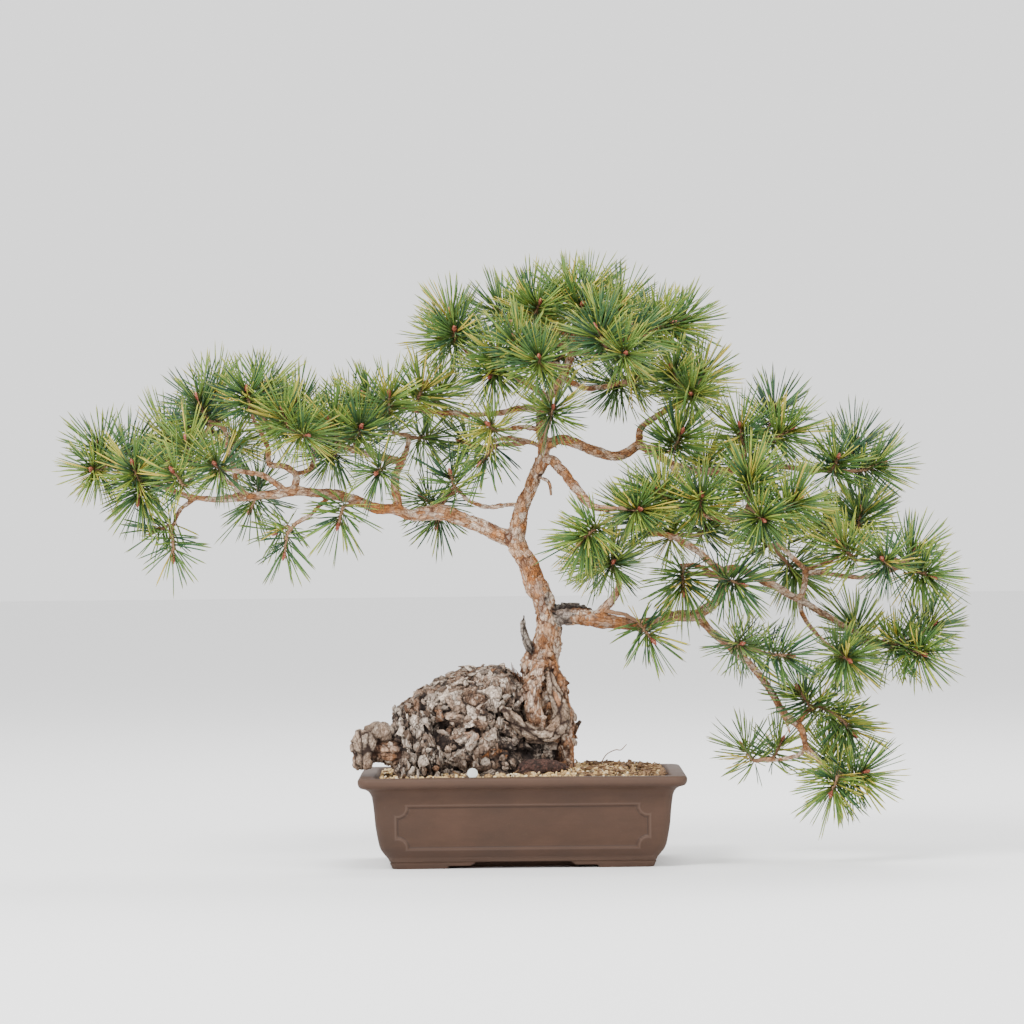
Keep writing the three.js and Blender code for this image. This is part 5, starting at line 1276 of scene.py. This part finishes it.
def sprayPlan(limb, first, *others):
    # one main shoot off the limb, and the others off the main one
    spot = budSpot(first)
    leaving = leavingPoint(np.array(limbs[limb], dtype=float), spot)
    outward = unit(spot - leaving["place"])
    forward = leaving["forward"]
    across = unit(outward - forward * outward.dot(forward))
    startWay = unit(outward + forward) if leaving["isEnd"] else unit(across * 0.8 + forward * 0.6)
    seat = forward if leaving["isEnd"] else across
    depth = spray["gap"] + (0.1 if leaving["isEnd"] else leaving["radius"] * 1.06 + 0.2)
    origin = leaving["place"] + startWay * ((depth + 1.2) / startWay.dot(seat))
    main = shootFrom(origin, startWay, first)
    main["fine"] = np.vstack([leaving["place"], main["fine"]])
    shoots, free = [main], list(spray["forks"])
    for bud in others:
        spot = budSpot(bud)
        share = leavingPoint(main["route"], spot)["share"]
        fork = min(free, key=lambda s: abs(s - share))
        free.remove(fork)
        place = pointOn(main["route"], fork)[:3]
        ahead = unit(pointOn(main["route"], fork + 0.05)[:3] - place)
        away = unit(spot - place)
        way = unit(unit(away - ahead * away.dot(ahead)) + ahead * 0.5)
        shoots.append(shootFrom(place + way * spray["twig"] * 0.5, way, bud))
    return shoots


# needles, buds and twigs

# lengths in millimetres and angles in degrees; joints and sizes run from foot to tip; split is half the angle
# between a pair at its least and what chance adds; yellow is how often a pair is older, and its lighter tone
needle = {
    "length": 42.0, "spread": 3.6, "shorterAtFoot": 11.0, "width": 1.55, "perTuft": 128, "bend": 5.0,
    "droop": 9, "tries": 5, "shorten": 0.88, "joints": (0.0, 0.42, 0.86, 1.0), "sizes": (0.75, 1.0, 0.9),
    "lean": 98, "leanChange": 72, "foot": -0.45, "reach": 1.38, "stem": 1.2, "split": (3.5, 3), "tones": 0.17,
    "yellow": (0.12, 0.3),
}


def anyAcross(way, rng):
    return unit(np.cross(way, rng.normal(size=3)))


def turned(vector, axis, angle):
    return (vector * math.cos(angle) + np.cross(axis, vector) * math.sin(angle)
            + axis * axis.dot(vector) * (1 - math.cos(angle)))


needleFaces = []
for row in range(2):
    for column in range(3):
        a, b = row * 3 + column, row * 3 + (column + 1) % 3
        needleFaces += [(a, b, b + 3), (a, b + 3, a + 3)]
needleFaces += [(6 + column, 6 + (column + 1) % 3, 9) for column in range(3)] + [(2, 1, 0)]
needleFaces = np.array(needleFaces)
needlePoints = 10
boxLow = np.array(cadBox[0]) / mm + 0.5
boxHigh = np.array(cadBox[1]) / mm - 0.5


def oneNeedle(root, way, bendAxis, bend, length, width):
    # a slim three-sided blade that curves a little and ends in a point
    for _ in range(needle["tries"]):
        tip = root + way * length
        if np.all(tip > boxLow) and np.all(tip < boxHigh):
            break
        length *= needle["shorten"]
    middleWay = turned(way, bendAxis, bend * 0.5)
    lastWay = turned(way, bendAxis, bend)
    centres = [root, root + way * length * 0.42]
    centres.append(centres[1] + middleWay * length * 0.44)
    tip = centres[2] + lastWay * length * 0.14
    side = unit(np.cross(way, bendAxis))
    flat = np.cross(way, side)
    ring = [side, -0.5 * side + 0.6 * flat, -0.5 * side - 0.6 * flat]
    points = [centre + size * width * 0.5 * edge
              for centre, size in zip(centres, needle["sizes"]) for edge in ring]
    return points + [tip]


def growTuft(heap, shoot, rng, tuftTone, crowding, long):
    # paired needles in a spiral up the shoot, lying flatter towards its foot
    heading = shoot["heading"]
    side = anyAcross(heading, rng)
    length = np.linalg.norm(shoot["bud"] - shoot["foot"])
    pairs = int(needle["perTuft"] * crowding / 2)
    points, tones = [], []
    start = rng.random() * 6.28
    for i in range(pairs):
        share = (i + 0.5) / pairs
        outward = turned(side, heading, start + i * goldenTurn + rng.normal() * 0.2)
        up = needle["foot"] + needle["reach"] * share ** 0.85
        root = shoot["foot"] + heading * length * up + outward * needle["stem"]
        lean = math.radians(needle["lean"] - needle["leanChange"] * share ** 1.2 + rng.normal() * 8)
        way = heading * math.cos(lean) + outward * math.sin(lean)
        across = unit(np.cross(heading, outward))
        reach = (needle["length"] - needle["shorterAtFoot"] * (1 - share)) * long
        reach += rng.normal() * needle["spread"]
        chance, extra = needle["yellow"]
        pairTone = tuftTone + rng.normal() * needle["tones"] + (extra if rng.random() < chance else 0)
        least, more = needle["split"]
        spread = math.radians(least + rng.random() * more)
        splitAxis = turned(across, way, rng.random() * 3.1)
        for sign in (-1, 1):
            blade = turned(way, splitAxis, sign * spread)
            bend = math.radians(needle["bend"] * rng.normal() - needle["droop"]) * (0.4 + share * 0.3)
            full = reach + rng.normal() * 1.2
            width = needle["width"] * (0.85 + 0.3 * rng.random())
            points.append(oneNeedle(root, blade, across, bend, full, width))
            tones.append(pairTone + rng.normal() * 0.04)
    faces = (needleFaces[None] + needlePoints * np.arange(len(points))[:, None, None]).reshape(-1, 3)
    along = np.tile(np.repeat(needle["joints"], (3, 3, 3, 1)), len(points))
    heap.add(np.concatenate(points) * mm, faces, np.clip(np.repeat(tones, needlePoints), 0, 1), along)


# a bud and the smaller ones that lean out beside it: extra bounds their number, sunk is how deep they all sit
budShape = {
    "length": 8.5, "sideLength": 5.5, "sideWidth": 0.72, "lean": 0.55, "sunk": 1.5, "extra": 2.6,
    "stations": (0, 0.3, 0.65, 0.9, 1.0), "radii": (1.5, 2.0, 1.7, 0.9, 0.25),
}


def growBuds(heap, shoot, rng):
    heading = shoot["heading"]
    foot = shoot["bud"] - heading * budShape["sunk"]
    for k in range(1 + int(rng.random() * budShape["extra"])):
        way, length, width = heading, budShape["length"], 1
        if k:
            way = unit(heading + budShape["lean"] * anyAcross(heading, rng))
            length, width = budShape["sideLength"], budShape["sideWidth"]
        centres = foot + way * length * np.array(budShape["stations"])[:, None]
        points, faces = tube(np.column_stack([centres, np.array(budShape["radii"]) * width]), 6)
        heap.add(points * mm, faces, 0.5)


def growTwig(heap, shoot, rng):
    fine = shoot["fine"]
    end = shoot["bud"] - shoot["heading"] * 0.5
    points = np.vstack([fine, [shoot["foot"] + (end - shoot["foot"]) * t for t in (0.35, 0.7, 1.0)]])
    k = np.arange(len(points))
    uneven = 1 + 0.1 * np.sin(k * 1.7 + rng.random() * 6)
    radius = np.linspace(spray["twig"] + 0.1, 1.35, len(points)) * uneven
    points = points + np.stack([np.sin(k * 0.9), np.cos(k * 1.1), np.sin(k * 0.7 + 2)], 1) * 0.25
    shaped, faces = tube(np.column_stack([points, radius]), 7)
    heap.add(shaped * mm, faces, 0.25 + 0.5 * rng.random())


# how full each spray's tufts are, and how long their needles, where they differ from 1
fullness = {
    "left_low_front": (0.65, 0.95), "left_hang": (0.42, 0.84), "left_drop": (0.36, 0.84),
    "left_star": (0.75, 0.95), "left_under": (0.5, 0.9), "left_below": (0.55, 0.95), "left_mid": (0.55, 0.86),
    "left_shade": (0.6, 0.9), "left_near": (0.75, 0.9), "left_back": (0.8, 0.95), "left_upper_tip": (0.85, 1),
    "left_high": (0.85, 0.95), "cascade_in": (0.55, 0.9), "cascade_high": (0.7, 0.92),
    "cascade_out": (0.85, 0.95), "right_hang": (0.6, 0.9), "right_front": (1.35, 1),
    "right_shelf_left": (1.4, 1), "right_shelf": (1.3, 1), "right_behind": (1.3, 1.05),
    "right_spine_back": (1.25, 1), "right_inner": (1.15, 1), "right_bud": (1.3, 1), "right_turn": (1.2, 1),
}
foliageRegions = {
    "leftTip": (
        "left_tip", "left_low", "left_rise", "left_hang", "left_cross", "left_drop", "left_under",
        "left_fork",
    ),
    "leftPad": ("left_",),
    "crown": ("crown_",),
    "rightPad": ("right_s", "right_p", "right_r", "right_o", "right_b"),
    "rightLow": ("right_", "cascade_"),
}
placed = set()
for number, (region, prefixes) in enumerate(foliageRegions.items()):
    rng = np.random.default_rng(100 + number)
    needles, buds, twigs = Heap(), Heap(), Heap()
    names = [name for name in sprays if name not in placed and name.startswith(prefixes)]
    placed.update(names)
    for name in names:
        for shoot in sprayPlan(*sprays[name]):
            growTuft(needles, shoot, rng, 0.43 + 0.1 * rng.normal(), *fullness.get(name, (1, 1)))
            growBuds(buds, shoot, rng)
            growTwig(twigs, shoot, rng)
    for kind, heap, finish, slot, *keys in (("Needles", needles, "needles", "needles", "tone", "along"),
                                            ("Buds", buds, "bud", "bark", "tone"),
                                            ("Twigs", twigs, "twig", "bark", "tone")):
        piece = heap.piece(region + kind, finishes[finish], *keys)
        makeActive(piece)
        if kind != "Needles":
            bpy.ops.object.shade_smooth()
        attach(piece, "root")
        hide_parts(*["needles_" + name for name in names])
    print(region, len(names), "sprays", len(needles.points), "tufts")


# gravel
gravel = {
    "count": 3300, "small": 1.2, "large": 2.7, "chips": 260, "halfX": 124, "halfY": 77, "chipsFrom": 55,
    "chipsTo": 122, "lowest": 70, "besideTag": 2, "chipLift": 2.6,
}


def worldTree(node):
    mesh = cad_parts[node].data
    return BVHTree.FromPolygons([v.co for v in mesh.vertices], [tuple(p.vertices) for p in mesh.polygons])


def scatterGravel():
    rng = np.random.default_rng(5)
    shape, faces = icoBall(1)
    soil, wood, tag = worldTree("soil"), worldTree("tree_wood"), np.array(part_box("tag"))
    halfX, halfY, beside = gravel["halfX"], gravel["halfY"], gravel["besideTag"] * mm
    heap = Heap()
    for k in range(gravel["count"] + gravel["chips"]):
        chip = k >= gravel["count"]
        x, y = rng.uniform(-halfX, halfX) * mm, rng.uniform(-halfY, halfY) * mm
        if chip and rng.random() < 0.6:
            x = rng.uniform(gravel["chipsFrom"], gravel["chipsTo"]) * mm
        hit, _, _, _ = soil.ray_cast(Vector((x, y, 0.2)), Vector((0, 0, -1)))
        if hit is None or hit.z < gravel["lowest"] * mm:
            continue
        above = wood.ray_cast(hit + Vector((0, 0, 0.001)), Vector((0, 0, 1)), 0.012)[0]
        if wood.find_nearest(hit)[3] < 1.5 * mm or above is not None:
            continue
        if np.all(tag[0][:2] - beside < (x, y)) and np.all((x, y) < tag[1][:2] + beside):
            continue
        size = rng.uniform(gravel["small"], gravel["large"]) * (0.8 + 0.2 * rng.random())
        stretch = np.array([1, rng.uniform(0.65, 1), rng.uniform(0.5, 0.85)]) * size
        if chip:
            stretch = np.array([rng.uniform(1.6, 3.2), rng.uniform(0.5, 1), rng.uniform(0.25, 0.45)]) * size
        points = shape * rng.uniform(0.78, 1.12, size=(len(shape), 1)) * stretch
        pole = (rng.normal(0, 0.2), rng.normal(0, 0.2), 1) if chip else rng.normal(size=3).tolist()
        turn = np.array(Matrix.Rotation(rng.uniform(0, 6.28), 3, pole))
        lift = gravel["chipLift"] if chip else stretch[2] * rng.uniform(0.15, 0.75)
        points = points @ turn.T + np.array([x, y, hit.z]) / mm + np.array([0, 0, lift])
        tone = np.clip(rng.normal(0.58, 0.26), 0.02, 1)
        # more bits of bark towards the right
        if rng.random() < 0.06 + 0.5 * blend(x + 0.3 * y, 0.045, 0.11):
            tone = rng.uniform(0.0, 0.32)
        heap.add(points * mm, faces, rng.uniform(0, 0.16) if chip else tone)
    piece = heap.piece("gravel", finishes["grit"], "tone")
    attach(piece, "root")
    print("gravel made", len(piece.data.polygons))


def dryRootlet():
    route = smoothRoute([[70, 30, 84, 0.6], [75, 30, 92, 0.5], [83, 31, 96, 0.5], [88, 30, 96, 0.45],
                         [93, 29, 101, 0.35]], 1.2)
    points, faces = tube(route, 6)
    piece = meshPiece("dryRootlet", points * mm, faces, finishes["twig"], tone=np.full(len(points), 0.4))
    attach(piece, "root")


def bristles():
    # stiff dark hairs where the trunk leaves the stump
    rng = np.random.default_rng(8)
    wood = worldTree("tree_wood")
    heap = Heap()
    for k in range(8):
        tip = np.array([-8.5 + 1.1 * k, -10 + rng.uniform(-3, 3), 174 - 1.2 * k + rng.uniform(-2, 2)])
        hit = wood.find_nearest(Vector(tip + np.array([4.5, 4, -9])) * mm)[0]
        foot = np.array(hit) / mm
        route = np.array([[*(foot + (tip - foot) * t), 0.75 - 0.5 * t] for t in np.linspace(-0.1, 1, 5)])
        points, faces = tube(route, 5)
        heap.add(points * mm, faces, 0.0)
    piece = heap.piece("bristles", finishes["twig"], "tone")
    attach(piece, "root")


scatterGravel()
dryRootlet()
bristles()

for node, finish in (("soil", "soil"), ("tag", "tag"), ("drainage_net_left", "netting"),
                     ("drainage_net_right", "netting")):
    wear(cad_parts[node], finish)


# floor, light and camera

# each softbox: where it stands, its size and its power
studio = {
    "camera": (-6.5, -3800, 308), "lens": 151.8, "turn": -0.6, "world": 1.6, "aim": (0, 0, 0.25),
    "softboxes": (((-1.2, -1.7, 2.2), 1.0, 105), ((1.8, -1.4, 1.2), 1.6, 30), ((0.5, 1.3, 2.2), 1.2, 45)),
}


def buildStudio():
    deselectAll()
    bpy.ops.mesh.primitive_plane_add(size=16, location=(0, 4, 0))
    floor = bpy.context.object
    floor.name = "paleFloor"
    bpy.ops.object.transform_apply(location=True)
    pale = Finish("paleFloor")
    pale.set(Base_Color=(0.86, 0.86, 0.86), Roughness=0.85)
    floor.data.materials.append(pale.material)
    world = bpy.data.worlds.new("studioWorld")
    world.use_nodes = True
    sky = world.node_tree.nodes["Background"]
    sky.inputs[0].default_value = (1, 1, 1, 1)
    sky.inputs[1].default_value = studio["world"]
    bpy.context.scene.world = world
    for place, size, power in studio["softboxes"]:
        lamp = bpy.data.objects.new("softbox", bpy.data.lights.new("softbox", "AREA"))
        lamp.data.size, lamp.data.energy = size, power
        lamp.location = place
        lamp.rotation_euler = (Vector(studio["aim"]) - Vector(place)).to_track_quat("-Z", "Y").to_euler()
        bpy.context.scene.collection.objects.link(lamp)
    camera = bpy.data.objects.new("camera", bpy.data.cameras.new("camera"))
    camera.data.lens, camera.data.sensor_width = studio["lens"], 36
    camera.data.clip_end = 100
    camera.location = Vector(studio["camera"]) * mm
    tilt, turn = Matrix.Rotation(math.pi / 2, 3, "X"), Matrix.Rotation(math.radians(studio["turn"]), 3, "Z")
    camera.rotation_euler = (tilt @ turn).to_euler()
    bpy.context.scene.collection.objects.link(camera)
    bpy.context.scene.camera = camera


buildStudio()
deselectAll()
